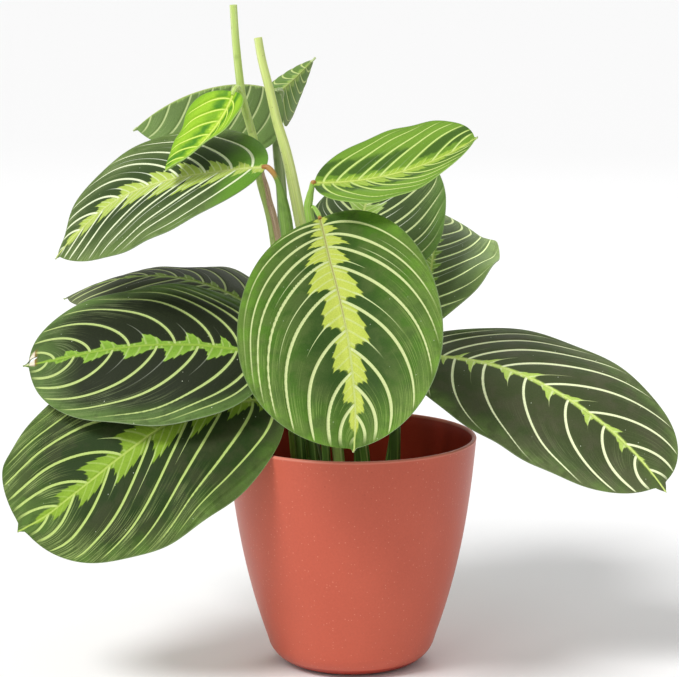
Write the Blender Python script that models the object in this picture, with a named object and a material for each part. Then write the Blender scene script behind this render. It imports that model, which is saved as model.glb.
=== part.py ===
"""Potted prayer plant: twelve blades, their stems, the soil and the pot.

Origin: centre of the pot's flat underside. +Z is up and the front is -Y.
Lengths in the tables are millimetres and angles are degrees.
"""
import math

import bmesh
import bpy
import numpy as np
from mathutils import Vector

MM = 0.001

# ---------------------------------------------------------------- the pot
POT_H = 120.3            # height
POT_R_RIM = 65.0         # outer radius at the rim
POT_R_FOOT = 38.7        # radius the wall would reach at the ground
POT_BULGE = 0.588        # share of the wall's lean that gathers near the foot
POT_BULGE_POWER = 2.5
POT_WALL = 2.4
POT_FLOOR = 3.0
FOOT_ROUND = 17.4        # radius between underside and wall
RIM_ROUND = 0.8
POT_SIDES = 48

# --------------------------------------------------------------- the soil
SOIL_TOP = 91.0
SOIL_GAP = 0.35          # clear of the pot all round
SOIL_BUMP = 1.6
HOLE_FLOOR = 76.0        # the stems' holes go down to here
HOLE_GAP = 0.55          # added to a stem's radius for its hole

# ------------------------------------------------------------- the blades
BLADE_THICK = 0.9
BLADE_ROWS = 15          # stations from the stem end to the tip
BLADE_COLS = 9           # points across a station, margin to margin
FLARE_SPAN = 0.05        # length of a flare, as a share of the midrib
STEM_GAP = 0.6           # between a stem's end and its blade
STEM_RUN_IN = 3.5        # a stem points along the midrib over this length

# A blade is a midrib that leaves BASE with a heading (0 = +X, 90 = back) and
# a pitch, both changing evenly towards the tip, and two halves that leave the
# midrib at a fold angle and curl on from there.  Left and right are seen
# along the midrib from the stem end with the upper face up.
#   base x y z | length width | heading | pitch | roll | fold l r | curl l r
#   widest place and tip fullness | basal lobe | margin wave, count, phase |
#   how far the tip is drawn out to a point
# flare, where given: side (0 left, 1 right), place and added share of width
BLADES = {
    "blade_front": dict(
        base=(-16, -27.5, 237), size=(143, 102), heading=(-79, -83),
        pitch=(-30, -57), roll=(-14, -4), fold=(19, 5), curl=(-2, -11),
        outline=(0.57, 0.54), lobe=1, wave=(0.6, 1.9, 0.1), point=1.0),
    "blade_upper_left": dict(
        base=(-45.5, -23, 263), size=(128, 87), heading=(162, 166),
        pitch=(2, -51), roll=(20, 36), fold=(1, 8), curl=(-19, -8),
        outline=(0.43, 0.71), lobe=2, wave=(0.5, 3.5, 0.2), point=1.2,
        flare=(1, 0.92, -0.15)),
    "blade_young": dict(
        base=(-60.5, -5, 297.5), size=(54, 39), heading=(223, 190),
        pitch=(-61, -26), roll=(11, 8), fold=(23, 22), curl=(4, -6),
        outline=(0.25, 0.66), lobe=2, wave=(0.8, 2.5, 0.4), point=0.8),
    "blade_upper_right": dict(
        base=(-18, -22, 255), size=(88, 68.5), heading=(-5, -24),
        pitch=(0, 34), roll=(-23, -31), fold=(15, 16), curl=(-10, -9),
        outline=(0.47, 0.59), lobe=1, wave=(0.5, 3.2, 0.57), point=1.2),
    "blade_behind": dict(
        base=(-0.5, 11.5, 200), size=(113, 88), heading=(82, 70),
        pitch=(44, 23), roll=(-6, 13), fold=(-4, 1), curl=(-33, -23),
        outline=(0.41, 0.58), lobe=2, wave=(1.2, 2.5, 0.0), point=1.0),
    "blade_far_right": dict(
        base=(37.5, 28, 172.5), size=(107, 73), heading=(79, 86),
        pitch=(46, 10), roll=(30, -27), fold=(8, 9), curl=(-15, -13),
        outline=(0.42, 0.61), lobe=2, wave=(2.0, 3.0, 0.3), point=1.2),
    "blade_right": dict(
        base=(26.5, -8, 164.5), size=(159, 95), heading=(-5, -34),
        pitch=(2, -50), roll=(-13, -26), fold=(5, -6), curl=(-12, -21),
        outline=(0.43, 0.51), lobe=2, wave=(0.7, 3.5, 0.75), point=1.8),
    "blade_left": dict(
        base=(-38.5, -31, 171.5), size=(131, 90), heading=(183, 170),
        pitch=(8, -17), roll=(33, 39), fold=(-7, 5), curl=(-22, -15),
        outline=(0.41, 0.41), lobe=2, wave=(1.1, 2.7, 0.13), point=1.3),
    "blade_lower_left": dict(
        base=(-38.5, -25, 144.5), size=(150, 103), heading=(206, 186),
        pitch=(-8, -40), roll=(24, 47), fold=(-6, 9), curl=(-20, 1),
        outline=(0.53, 0.46), lobe=2, wave=(1.5, 3.0, 0.6), point=1.5,
        flare=(1, 0.93, 0.08)),
    "blade_back_low": dict(
        base=(-47, 24, 180.5), size=(117, 76), heading=(157, 172),
        pitch=(33, -30), roll=(20, -2), fold=(-6, 1), curl=(-32, -21),
        outline=(0.42, 0.59), lobe=2, wave=(1.5, 3.0, 0.35), point=1.2),
    "blade_back_left": dict(
        base=(-40, 74, 293.1), size=(90, 87), heading=(225, 179),
        pitch=(20, -45), roll=(14, 17), fold=(-34, -38), curl=(-6, -12),
        outline=(0.37, 0.54), lobe=3, wave=(1.2, 3.0, 0.1), point=1.2),
    "blade_back_tip": dict(
        base=(-37.5, 80.5, 292.6), size=(58, 53), heading=(74, 69),
        pitch=(9, 17), roll=(-11, -29), fold=(-32, -74), curl=(-30, -16),
        outline=(0.41, 0.61), lobe=2, wave=(0.8, 2.5, 0.2), point=1.2),
}
BLADE_SLOT = {
    "blade_front": "leaf_green", "blade_lower_left": "leaf_green",
    "blade_upper_left": "leaf_grey", "blade_back_left": "leaf_grey",
    "blade_behind": "leaf_grey", "blade_far_right": "leaf_grey",
    "blade_young": "leaf_young", "blade_upper_right": "leaf_young",
    "blade_back_tip": "leaf_young", "blade_right": "leaf_dark",
    "blade_left": "leaf_dark", "blade_back_low": "leaf_dark",
}

# -------------------------------------------------------------- the stems
# Each stem runs up from its hole through hand-set points (x, y, z, radius)
# and, where it carries a blade, ends just short of that blade's base.
STEMS = {
    "stem_front": dict(slot="stem_green", to="blade_upper_right", path=[
        (9, -8, 92, 2.6), (4, -9, 130, 2.6), (-8, -12, 185, 2.6),
        (-17.5, -16.5, 220, 2.5), (-21.9, -19, 240, 2.3),
        (-21.4, -20.1, 247.2, 1.9), (-20.5, -21.2, 251.3, 1.2)], run_in=1.7),
    "stem_upper_left": dict(slot="stem_green", to="blade_upper_left", path=[
        (-18, -11, 92, 2.6), (-24, -13, 150, 2.9), (-30, -17, 200, 3.4),
        (-32.8, -19, 229, 3.4), (-34.4, -21, 242, 2.9),
        (-36.3, -23.5, 252.5, 1.8), (-38.8, -25, 259, 1.2)]),
    "stem_stalk_left": dict(slot="stem_pale", to=None, path=[
        (-28, 1, 92, 2.4), (-33, 6, 150, 2.6), (-40, 12, 222, 2.6),
        (-47, 17, 251, 2.4), (-50.6, 19, 272, 2.2), (-55.4, 18, 290, 2.1),
        (-57.2, 17, 300, 2.1), (-59.4, 16, 322, 2.0), (-60.6, 15, 342, 1.9)]),
    "stem_stalk_right": dict(slot="stem_pale", to=None, path=[
        (-5, 3, 92, 3.0), (-13, 5, 160, 3.2), (-26.4, 8, 231, 3.1),
        (-33.1, 9, 264, 2.8), (-38.5, 10, 283, 2.5), (-42, 11, 298, 2.3),
        (-46, 12, 314, 2.2), (-48, 12, 325.5, 2.1)]),
    "stem_back_left": dict(slot="stem_green", to="blade_back_left", path=[
        (-15, 16, 92, 2.4), (-27, 25, 150, 2.4), (-35, 38, 200, 2.4),
        (-37, 52, 239.5, 2.8), (-39.5, 62, 265, 2.6), (-39.8, 71.5, 278.6, 2.1),
        (-38.2, 76.8, 287.5, 1.5)]),
    "stem_left": dict(slot="stem_green", to="blade_left", path=[
        (-12, -21, 92, 2.2), (-15, -27, 140, 2.2), (-22, -31, 163, 2.0),
        (-30, -31.5, 170, 1.7)]),
    "stem_lower_left": dict(slot="stem_green", to="blade_lower_left", path=[
        (-26, -19, 92, 2.3), (-27, -19.5, 120, 2.3), (-29, -20.5, 136, 1.9),
        (-31.5, -21.6, 143.6, 1.6)]),
    "stem_back_low": dict(slot="stem_green", to="blade_back_low", path=[
        (-23, 17, 92, 2.2), (-28, 20, 130, 2.2), (-37, 21, 158, 2.0),
        (-42, 21.8, 172, 1.7)]),
    "stem_right": dict(slot="stem_green", to="blade_right", path=[
        (22, -6, 92, 3.2), (22.3, -6, 130, 2.9), (20, -7, 152, 2.3),
        (20.5, -7.4, 161, 1.7)]),
    "stem_behind": dict(slot="stem_green", to="blade_behind", path=[
        (4, 8, 92, 2.3), (2, 5, 150, 2.3), (-1.5, 4, 182, 2.0),
        (-1.2, 6.5, 193, 1.7)]),
    "stem_far_right": dict(slot="stem_green", to="blade_far_right", path=[
        (18, 12, 92, 2.3), (25, 16, 130, 2.2), (34, 20, 157, 1.9),
        (36.4, 23.2, 166.5, 1.7)]),
}
# short branches that grew out of a stem and are one piece with it
BRANCHES = {
    "stem_front": dict(to="blade_front", path=[
        (-21.6, -19.3, 240.5, 1.2), (-19.4, -20.8, 242.4, 1.0)]),
    "stem_stalk_left": dict(to="blade_young", path=[
        (-51.5, 19, 275, 1.5), (-54.5, 12, 289, 1.5), (-57.3, 2, 300, 1.2)]),
    "stem_back_left": dict(to="blade_back_tip", path=[
        (-39.8, 71, 277.6, 1.5), (-38.6, 74, 286.6, 1.4)]),
}
STEM_SIDES = 10
STEM_STEPS = 2           # rings per span between two points

# a dry brown sheath that clasps the left stalk
SHEATH_PATH = [(-35.2, 6.3, 195), (-37.8, 8.6, 222), (-42.0, 11.8, 240),
               (-45.6, 14.1, 256)]
SHEATH_WIDTH = 3.4
SHEATH_THICK = 0.8

COLOURS = {
    "pot_plastic": ((0.52, 0.11, 0.06), 0.42),
    "soil": ((0.045, 0.028, 0.018), 0.95),
    "leaf_green": ((0.07, 0.19, 0.035), 0.42),
    "leaf_grey": ((0.09, 0.14, 0.07), 0.45),
    "leaf_dark": ((0.045, 0.075, 0.04), 0.45),
    "leaf_young": ((0.16, 0.36, 0.04), 0.42),
    "stem_green": ((0.16, 0.30, 0.06), 0.45),
    "stem_pale": ((0.40, 0.55, 0.18), 0.45),
    "sheath_dry": ((0.46, 0.28, 0.17), 0.75),
}


# ------------------------------------------------------------ small helpers
def clear_scene():
    for ob in list(bpy.data.objects):
        bpy.data.objects.remove(ob, do_unlink=True)


def material(slot):
    mat = bpy.data.materials.get(slot)
    if mat is None:
        colour, rough = COLOURS[slot]
        mat = bpy.data.materials.new(slot)
        mat.use_nodes = True
        bsdf = mat.node_tree.nodes["Principled BSDF"]
        bsdf.inputs["Base Color"].default_value = (*colour, 1.0)
        bsdf.inputs["Roughness"].default_value = rough
        bsdf.inputs["Metallic"].default_value = 0.0
        mat.diffuse_color = (*colour, 1.0)
    return mat


def add_object(name, bm, slot):
    """Turn a millimetre bmesh into a named object in metres."""
    bmesh.ops.scale(bm, vec=(MM, MM, MM), verts=bm.verts)
    bmesh.ops.recalc_face_normals(bm, faces=bm.faces)
    if bm.calc_volume(signed=True) < 0:
        bmesh.ops.reverse_faces(bm, faces=bm.faces)
    for face in bm.faces:
        face.smooth = True
    mesh = bpy.data.meshes.new(name)
    bm.to_mesh(mesh)
    bm.free()
    ob = bpy.data.objects.new(name, mesh)
    mesh.materials.append(material(slot))
    bpy.context.scene.collection.objects.link(ob)
    return ob


def boolean(target, tool, operation):
    """Apply one exact Boolean and drop the tool."""
    tool.hide_render = True
    tool.display_type = "WIRE"
    mod = target.modifiers.new(operation.lower(), "BOOLEAN")
    mod.operation = operation
    mod.solver = "EXACT"
    mod.object = tool
    bpy.context.view_layer.objects.active = target
    bpy.ops.object.modifier_apply(modifier=mod.name)
    bpy.data.objects.remove(tool, do_unlink=True)


# -------------------------------------------------------------------- pot
def wall_radius(z):
    """Outer radius of the pot's wall at height z."""
    t = 1.0 - z / POT_H
    lean = POT_R_RIM - POT_R_FOOT
    even = (1.0 - POT_BULGE) * t
    return POT_R_RIM - lean * (even + POT_BULGE * t ** POT_BULGE_POWER)


def foot_arc(inset, steps):
    """Rounded corner between floor and wall, moved inwards by inset."""
    slope = (POT_R_RIM - POT_R_FOOT) / POT_H
    slope *= 1.0 - POT_BULGE + POT_BULGE * POT_BULGE_POWER
    lean = math.atan(slope)
    reach = FOOT_ROUND / math.tan(math.radians(45) + lean / 2)
    centre_r = POT_R_FOOT - reach
    r = FOOT_ROUND - inset
    turns = np.linspace(-math.pi / 2, -lean, steps)
    return [(centre_r + r * math.cos(a), FOOT_ROUND + r * math.sin(a))
            for a in turns]


def pot_profile():
    """Outline of the pot's wall, as (radius, height), underside to inside."""
    outside = foot_arc(0.0, 7)
    start = outside[-1][1]
    outside += [(wall_radius(z), z)
                for z in np.linspace(start, POT_H - RIM_ROUND, 9)[1:]]
    rim = [(POT_R_RIM - RIM_ROUND, POT_H),
           (POT_R_RIM - POT_WALL + RIM_ROUND, POT_H)]
    inside = [(wall_radius(z) - POT_WALL, z)
              for z in np.linspace(POT_H - RIM_ROUND, start + 2, 9)]
    inside += [(r, z) for r, z in reversed(foot_arc(POT_WALL, 6))
               if z > POT_FLOOR]
    centre_r = foot_arc(0.0, 2)[0][0]
    return outside + rim + inside + [(centre_r, POT_FLOOR)]


def turned(profile, sides):
    """Closed solid of revolution; the profile's ends are capped flat."""
    bm = bmesh.new()
    rings = []
    for r, z in profile:
        rings.append([bm.verts.new((r * math.cos(a), r * math.sin(a), z))
                      for a in np.arange(sides) * 2 * math.pi / sides])
    for low, high in zip(rings, rings[1:]):
        for i in range(sides):
            j = (i + 1) % sides
            bm.faces.new((low[i], low[j], high[j], high[i]))
    bm.faces.new(list(reversed(rings[0])))
    bm.faces.new(rings[-1])
    return bm


def build_pot():
    bm = turned(pot_profile(), POT_SIDES)
    return add_object("pot", bm, "pot_plastic")


# ------------------------------------------------------------------- soil
def soil_height(x, y):
    """Crumbly top of the soil."""
    lumps = math.sin(0.21 * x + 0.5) * math.cos(0.17 * y)
    crumbs = 0.6 * math.sin(0.47 * x - 0.39 * y + 1.1)
    return SOIL_TOP + SOIL_BUMP * (lumps + crumbs)


def build_soil():
    inset = POT_WALL + SOIL_GAP
    floor = POT_FLOOR + SOIL_GAP
    low = [(r, z) for r, z in foot_arc(inset, 6) if z > floor + 0.4]
    flat_r = foot_arc(0.0, 2)[0][0]
    start = foot_arc(0.0, 2)[-1][1] + 2
    profile = [(flat_r, floor)] + low
    profile += [(wall_radius(z) - inset, z)
                for z in np.linspace(start, SOIL_TOP - 4, 7)]
    edge_r = wall_radius(SOIL_TOP - 4) - inset
    profile += [(edge_r * f, SOIL_TOP) for f in (0.97, 0.8, 0.6, 0.4, 0.2)]
    bm = turned(profile, POT_SIDES)
    for v in bm.verts:
        if v.co.z > SOIL_TOP - 0.01:
            v.co.z = soil_height(v.co.x, v.co.y)
    soil = add_object("soil", bm, "soil")
    for stem in STEMS.values():
        boolean(soil, hole_cutter(stem["path"][0]), "DIFFERENCE")
    return soil


def hole_cutter(foot):
    x, y, _, radius = foot
    bm = bmesh.new()
    top = SOIL_TOP + 12
    bmesh.ops.create_cone(
        bm, cap_ends=True, segments=12, radius1=radius + HOLE_GAP,
        radius2=radius + HOLE_GAP, depth=top - HOLE_FLOOR)
    middle = (x, y, (top + HOLE_FLOOR) / 2)
    bmesh.ops.translate(bm, vec=middle, verts=bm.verts)
    return add_object("cutter", bm, "soil")


# ------------------------------------------------------------------ blades
def direction(heading, pitch):
    h, p = math.radians(heading), math.radians(pitch)
    return Vector((math.cos(p) * math.cos(h), math.cos(p) * math.sin(h),
                   math.sin(p)))


def frames(blade, steps=80):
    """Place, forward, right and upward directions along the midrib."""
    place = Vector(blade["base"])
    ahead_before = direction(blade["heading"][0], blade["pitch"][0])
    out = []
    for i in range(steps + 1):
        u = i / steps
        heading, pitch, roll = (blade[k][0] + (blade[k][1] - blade[k][0]) * u
                                for k in ("heading", "pitch", "roll"))
        ahead = direction(heading, pitch)
        if i:
            place = place + (ahead + ahead_before) * (
                blade["size"][0] / steps / 2)
        ahead_before = ahead
        h, r = math.radians(heading), math.radians(roll)
        level = Vector((math.sin(h), -math.cos(h), 0.0))
        lift = level.cross(ahead)
        right = level * math.cos(r) + lift * math.sin(r)
        up = lift * math.cos(r) - level * math.sin(r)
        out.append((place.copy(), ahead, right, up))
    return out


def frame_at(table, u):
    x = min(max(u, 0.0), 1.0) * (len(table) - 1)
    i = min(int(x), len(table) - 2)
    f = x - i
    return [a.lerp(b, f) for a, b in zip(table[i], table[i + 1])]


def half_width(blade, u, side):
    """Distance from midrib to margin: a quarter ellipse, then a drawn tip."""
    widest, fullness = blade["outline"]
    if u < widest:
        share = math.sqrt(max(0.0, 1 - ((widest - u) / widest) ** 2))
    else:
        s = (u - widest) / (1 - widest)
        point = blade["point"]
        oval = (1 - min(1.0, s * (1 + 0.03 * point)) ** 2.1) ** fullness
        tip = point * (1 - s) * s ** 4
        share = (oval ** 3 + tip ** 3) ** (1 / 3)
    if blade.get("flare", (None,))[0] == side:
        _, middle, more = blade["flare"]
        near = math.exp(-((u - middle) / FLARE_SPAN) ** 2)
        share += more * near * min(1.0, (1 - u) / 0.04)
    return blade["size"][1] / 2 * share


def blade_point(blade, table, u, v):
    """Point on a blade's upper face; v runs from -1 (left) to 1 (right)."""
    place, ahead, right, up = frame_at(table, u)
    side = 1 if v >= 0 else 0
    t = abs(v)
    fold = math.radians(blade["fold"][side])
    curl = math.radians(blade["curl"][side]) or 1e-6
    w = half_width(blade, u, side)
    out = w * (math.sin(fold + curl * t) - math.sin(fold)) / curl
    rise = w * (math.cos(fold) - math.cos(fold + curl * t)) / curl
    tall, count, phase = blade["wave"]
    turn = count * u + phase + (0.0 if side else 0.37)
    rise += tall * t * t * math.sin(2 * math.pi * turn) * math.sin(
        math.pi * u)
    back = blade["lobe"] * t * t * math.exp(-u / 0.12)
    return place + right * (out if side else -out) + up * rise - ahead * back


def blade_normal(blade, table, u, v):
    """Unit normal of the upper face."""
    e = 0.02
    u0, u1 = max(u - e, 0.01), min(u + e, 0.99)
    v0, v1 = max(v - e, -1.0), min(v + e, 1.0)
    along = (blade_point(blade, table, u1, v)
             - blade_point(blade, table, u0, v))
    across = (blade_point(blade, table, u, v1)
              - blade_point(blade, table, u, v0))
    n = across.cross(along)
    if n.length < 1e-9:
        return frame_at(table, u)[3]
    return n.normalized()


def build_blade(name):
    """A thin solid: two like grids of triangles joined round the margin."""
    blade = BLADES[name]
    table = frames(blade)
    across = np.linspace(-1, 1, BLADE_COLS)
    stations = [0.5 - 0.5 * math.cos(math.pi * i / BLADE_ROWS)
                for i in range(1, BLADE_ROWS)]
    bm = bmesh.new()
    faces = []
    for drop in (0.0, BLADE_THICK):
        def put(u, v):
            un = min(max(u, 0.03), 0.97)
            n = blade_normal(blade, table, un, v)
            return bm.verts.new(blade_point(blade, table, u, v) - n * drop)
        rows = [[put(u, v) for v in across] for u in stations]
        faces.append((put(0.0, 0.0), rows, put(1.0, 0.0)))
    for (base, rows, tip), flip in zip(faces, (False, True)):
        for a, b in zip(rows, rows[1:]):
            for j in range(BLADE_COLS - 1):
                if j < BLADE_COLS // 2:
                    tris = ((a[j], a[j + 1], b[j]), (a[j + 1], b[j + 1], b[j]))
                else:
                    tris = ((a[j], a[j + 1], b[j + 1]), (a[j], b[j + 1], b[j]))
                for tri in tris:
                    bm.faces.new(tri[::-1] if flip else tri)
        for j in range(BLADE_COLS - 1):
            for tri in ((base, rows[0][j + 1], rows[0][j]),
                        (tip, rows[-1][j], rows[-1][j + 1])):
                bm.faces.new(tri[::-1] if flip else tri)
    edge_top, edge_low = (margin_loop(f) for f in faces)
    count = len(edge_top)
    for i in range(count):
        j = (i + 1) % count
        bm.faces.new((edge_top[i], edge_low[i], edge_low[j]))
        bm.faces.new((edge_top[i], edge_low[j], edge_top[j]))
    return add_object(name, bm, BLADE_SLOT[name])


def margin_loop(face):
    base, rows, tip = face
    left = [row[0] for row in rows]
    right = [row[-1] for row in rows]
    return [base] + left + [tip] + right[::-1]


# ------------------------------------------------------------------- stems
def smooth_path(points, per_span):
    """Catmull-Rom curve through points of any dimension."""
    pts = [np.array(p, float) for p in points]
    pts = [2 * pts[0] - pts[1]] + pts + [2 * pts[-1] - pts[-2]]
    out = []
    for a, b, c, d in zip(pts, pts[1:], pts[2:], pts[3:]):
        for s in np.arange(per_span) / per_span:
            out.append(0.5 * (2 * b + (c - a) * s
                              + (2 * a - 5 * b + 4 * c - d) * s ** 2
                              + (3 * b - a - 3 * c + d) * s ** 3))
    return out + [pts[-2]]


def tube(path, sides):
    """Round tube of changing radius along path, capped at both ends."""
    places = [Vector([float(c) for c in p[:3]]) for p in path]
    bm = bmesh.new()
    rings = []
    ahead = (places[1] - places[0]).normalized()
    side = ahead.orthogonal().normalized()
    for i, place in enumerate(places):
        low, high = places[max(i - 1, 0)], places[min(i + 1, len(path) - 1)]
        ahead = (high - low).normalized()
        side = (side - ahead * side.dot(ahead)).normalized()
        other = ahead.cross(side)
        radius = float(path[i][3])
        rings.append([bm.verts.new(
            place + (side * math.cos(a) + other * math.sin(a)) * radius)
            for a in np.arange(sides) * 2 * math.pi / sides])
    for low, high in zip(rings, rings[1:]):
        for i in range(sides):
            j = (i + 1) % sides
            bm.faces.new((low[i], low[j], high[j], high[i]))
    bm.faces.new(rings[0][::-1])
    bm.faces.new(rings[-1])
    return bm


def end_at_blade(name, radius, run_in):
    """Last two points of a stem, in line with its blade's midrib."""
    blade = BLADES[name]
    ahead = direction(blade["heading"][0], blade["pitch"][0])
    base = Vector(blade["base"])
    ends = [base - ahead * back for back in (run_in, STEM_GAP)]
    return [(*p, radius) for p in ends]


def stem_path(spec, rooted):
    points, root = list(spec["path"]), []
    if rooted:
        x, y, _, radius = points[0]
        root = [(x, y, HOLE_FLOOR + 0.4, radius)]
    if spec["to"]:
        points += end_at_blade(spec["to"], points[-1][3],
                               spec.get("run_in", STEM_RUN_IN))
    return root + smooth_path(points, STEM_STEPS)


def build_stem(name):
    spec = STEMS[name]
    stem = add_object(name, tube(stem_path(spec, True), STEM_SIDES),
                      spec["slot"])
    if name in BRANCHES:
        path = stem_path(BRANCHES[name], False)
        branch = add_object("branch", tube(path, 8), spec["slot"])
        boolean(stem, branch, "UNION")
    return stem


def build_sheath():
    """Thin dry strip, slightly dished, standing along the left stalk."""
    path = smooth_path([(*p, 0.0) for p in SHEATH_PATH], 4)
    bm = bmesh.new()
    rings = []
    for i, p in enumerate(path):
        s = i / (len(path) - 1)
        w = SHEATH_WIDTH / 2 * (0.45 + 0.55 * math.sin(math.pi * s))
        t = SHEATH_THICK / 2
        rings.append([bm.verts.new((p[0] + x, p[1] + y, p[2]))
                      for x, y in ((-w, t), (-w, -t), (w, -t), (w, t))])
    for a, b in zip(rings, rings[1:]):
        for i in range(4):
            j = (i + 1) % 4
            bm.faces.new((a[i], a[j], b[j]))
            bm.faces.new((a[i], b[j], b[i]))
    bm.faces.new(rings[0][::-1])
    bm.faces.new(rings[-1])
    return add_object("dry_sheath", bm, "sheath_dry")


def main():
    clear_scene()
    build_pot()
    build_soil()
    for name in STEMS:
        build_stem(name)
    for name in BLADES:
        build_blade(name)
    build_sheath()


main()
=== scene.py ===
# %% [markdown]
# # A prayer plant in its pot
# This lesson dresses a plain packed model of a potted prayer plant.  The real
# plant has a dozen soft oval blades on thin stems, two long cut stalks and a
# moulded pot.  The packed model says where every piece stands, so each new
# piece is laid exactly over its plain one and takes its place.

# %% Load the packed model
import math

import bpy
import numpy as np
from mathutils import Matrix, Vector, noise


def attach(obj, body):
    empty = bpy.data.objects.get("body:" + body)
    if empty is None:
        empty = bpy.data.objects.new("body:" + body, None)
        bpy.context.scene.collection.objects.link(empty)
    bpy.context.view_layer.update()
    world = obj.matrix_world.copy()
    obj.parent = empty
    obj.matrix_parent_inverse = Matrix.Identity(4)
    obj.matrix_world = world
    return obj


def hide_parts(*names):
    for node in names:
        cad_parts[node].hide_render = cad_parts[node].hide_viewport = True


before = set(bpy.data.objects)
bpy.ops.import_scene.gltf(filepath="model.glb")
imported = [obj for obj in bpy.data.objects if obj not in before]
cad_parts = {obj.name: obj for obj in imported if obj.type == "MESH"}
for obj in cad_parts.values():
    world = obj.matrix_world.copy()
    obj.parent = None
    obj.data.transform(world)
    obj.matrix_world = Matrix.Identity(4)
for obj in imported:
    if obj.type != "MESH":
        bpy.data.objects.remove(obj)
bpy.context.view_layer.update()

MM = 0.001

# %% [markdown]
# ## Camera and light
# The camera comes first, because every later choice is judged through it.  It
# stands a metre and a half in front, a little above the leaves, with a long
# lens, so the pot's mouth shows as a thin ellipse.  A plant like this is lit
# softly: a wide lamp overhead, as even as a sun, gives the leaves their soft
# shadows, and a pale sky and two weak lamps keep those shadows open.

# %% Camera
CAMERA_PLACE = (-0.00624, -1.46722, 0.43187)    # metres
CAMERA_DIP = 10.071                             # degrees below level
CAMERA_LENS, SENSOR_WIDTH = 152.85, 36          # mm


def deselect():
    """Leave nothing selected, so that an operator acts on one piece alone."""
    bpy.ops.object.select_all(action="DESELECT")


def add_camera():
    bpy.ops.object.camera_add(
        location=CAMERA_PLACE, rotation=(math.radians(90 - CAMERA_DIP), 0, 0))
    camera = bpy.context.object
    camera.data.sensor_width = SENSOR_WIDTH
    camera.data.lens = CAMERA_LENS
    camera.data.clip_start, camera.data.clip_end = 0.05, 60
    bpy.context.scene.camera = camera
    return camera


deselect()
print("camera at", tuple(add_camera().location))


# %% Lamps
def turn_towards(lamp, aim):
    """A lamp shines down its own -Z, so that axis is turned to the aim."""
    lamp.rotation_euler = Vector(aim).to_track_quat("-Z", "Y").to_euler()


def add_key(aim, strength, spread):
    """The main lamp, so far off that it lights the whole floor evenly."""
    bpy.ops.object.light_add(type="SUN")
    lamp = bpy.context.object
    lamp.name = "key"
    lamp.data.energy = strength
    lamp.data.angle = math.radians(spread)
    turn_towards(lamp, aim)


def add_fill(name, place, target, size, watts):
    """A weak round lamp that looks at a target."""
    bpy.ops.object.light_add(type="AREA", location=place)
    lamp = bpy.context.object
    lamp.name = name
    lamp.data.shape = "DISK"
    lamp.data.size = size
    lamp.data.energy = watts
    turn_towards(lamp, Vector(target) - Vector(place))


add_key(aim=(0.55, 0.60, -1.0), strength=2.2, spread=20)
add_fill("front", (-0.9, -1.9, 1.0), (0, 0, 0.18), size=0.9, watts=5)
add_fill("back", (0.3, 1.4, 1.3), (0, 0, 0.22), size=0.9, watts=5)

# %% Sky and floor
SKY_STRENGTH = 0.52
FLOOR_SIZE, FLOOR_DROP, FLOOR_TONE = 30, 0.0002, 0.92


def add_sky():
    world = bpy.data.worlds.new("studio")
    bpy.context.scene.world = world
    world.use_nodes = True
    sky = world.node_tree.nodes["Background"]
    sky.inputs["Color"].default_value = (1.0, 1.0, 1.0, 1.0)
    sky.inputs["Strength"].default_value = SKY_STRENGTH


def add_floor():
    """A wide pale sheet, a hair below the pot so that the two never mix."""
    bpy.ops.mesh.primitive_plane_add(size=FLOOR_SIZE, location=(0, 8, -FLOOR_DROP))
    floor = bpy.context.object
    floor.name = "studio_floor"
    paper = bpy.data.materials.new("pale_paper")
    paper.use_nodes = True
    bsdf = paper.node_tree.nodes["Principled BSDF"]
    bsdf.inputs["Base Color"].default_value = (FLOOR_TONE, FLOOR_TONE, FLOOR_TONE, 1)
    bsdf.inputs["Roughness"].default_value = 0.9
    floor.data.materials.append(paper)


add_sky()
add_floor()
bpy.context.scene.view_settings.view_transform = "Standard"
print("sky", SKY_STRENGTH, "over a floor of", FLOOR_SIZE, "m")

# %% [markdown]
# ## A small kit for finishes
# Leaf markings are drawn by arithmetic on the surface's own coordinates: how
# far along the leaf, how far from the midrib, how far from the nearest vein.
# A node for each sum would fill pages, so a `Field` wraps one socket and lets
# us write the sums as plain Python.  Each one still becomes a Math node.

# %% Fields: numbers that change over a surface
def feed(tree, slot, value):
    """Link a field to a socket, or set a plain number on it."""
    if isinstance(value, Field):
        tree.links.new(value.socket, slot)
    else:
        slot.default_value = value


class Field:
    def __init__(self, tree, socket):
        self.tree, self.socket = tree, socket

    def math(self, operation, *others):
        node = self.tree.nodes.new("ShaderNodeMath")
        node.operation = operation
        for slot, value in zip(node.inputs, (self,) + others):
            feed(self.tree, slot, value)
        return Field(self.tree, node.outputs[0])

    def __add__(self, other):
        return self.math("ADD", other)

    def __sub__(self, other):
        return self.math("SUBTRACT", other)

    def __mul__(self, other):
        return self.math("MULTIPLY", other)

    def __truediv__(self, other):
        return self.math("DIVIDE", other)

    def __pow__(self, other):
        return self.math("POWER", other)

    def least(self, other):
        return self.math("MINIMUM", other)

    def most(self, other):
        return self.math("MAXIMUM", other)

    def flipped(self):
        return self * -1.0 + 1.0

    def ramp(self, start, end):
        """0 below start, 1 above end, smooth between."""
        node = self.tree.nodes.new("ShaderNodeMapRange")
        node.interpolation_type = "SMOOTHSTEP"
        for name, value in (("Value", self), ("From Min", start), ("From Max", end)):
            feed(self.tree, node.inputs[name], value)
        return Field(self.tree, node.outputs["Result"])

    def curve(self, points):
        """Read off a curve drawn through points with straight lines."""
        node = self.tree.nodes.new("ShaderNodeFloatCurve")
        self.tree.links.new(self.socket, node.inputs["Value"])
        line = node.mapping.curves[0]
        while len(line.points) < len(points):
            line.points.new(0.5, 0.5)
        for point, (x, y) in zip(line.points, points):
            point.location = (x, y)
            point.handle_type = "VECTOR"
        node.mapping.update()
        return Field(self.tree, node.outputs["Value"])


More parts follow.
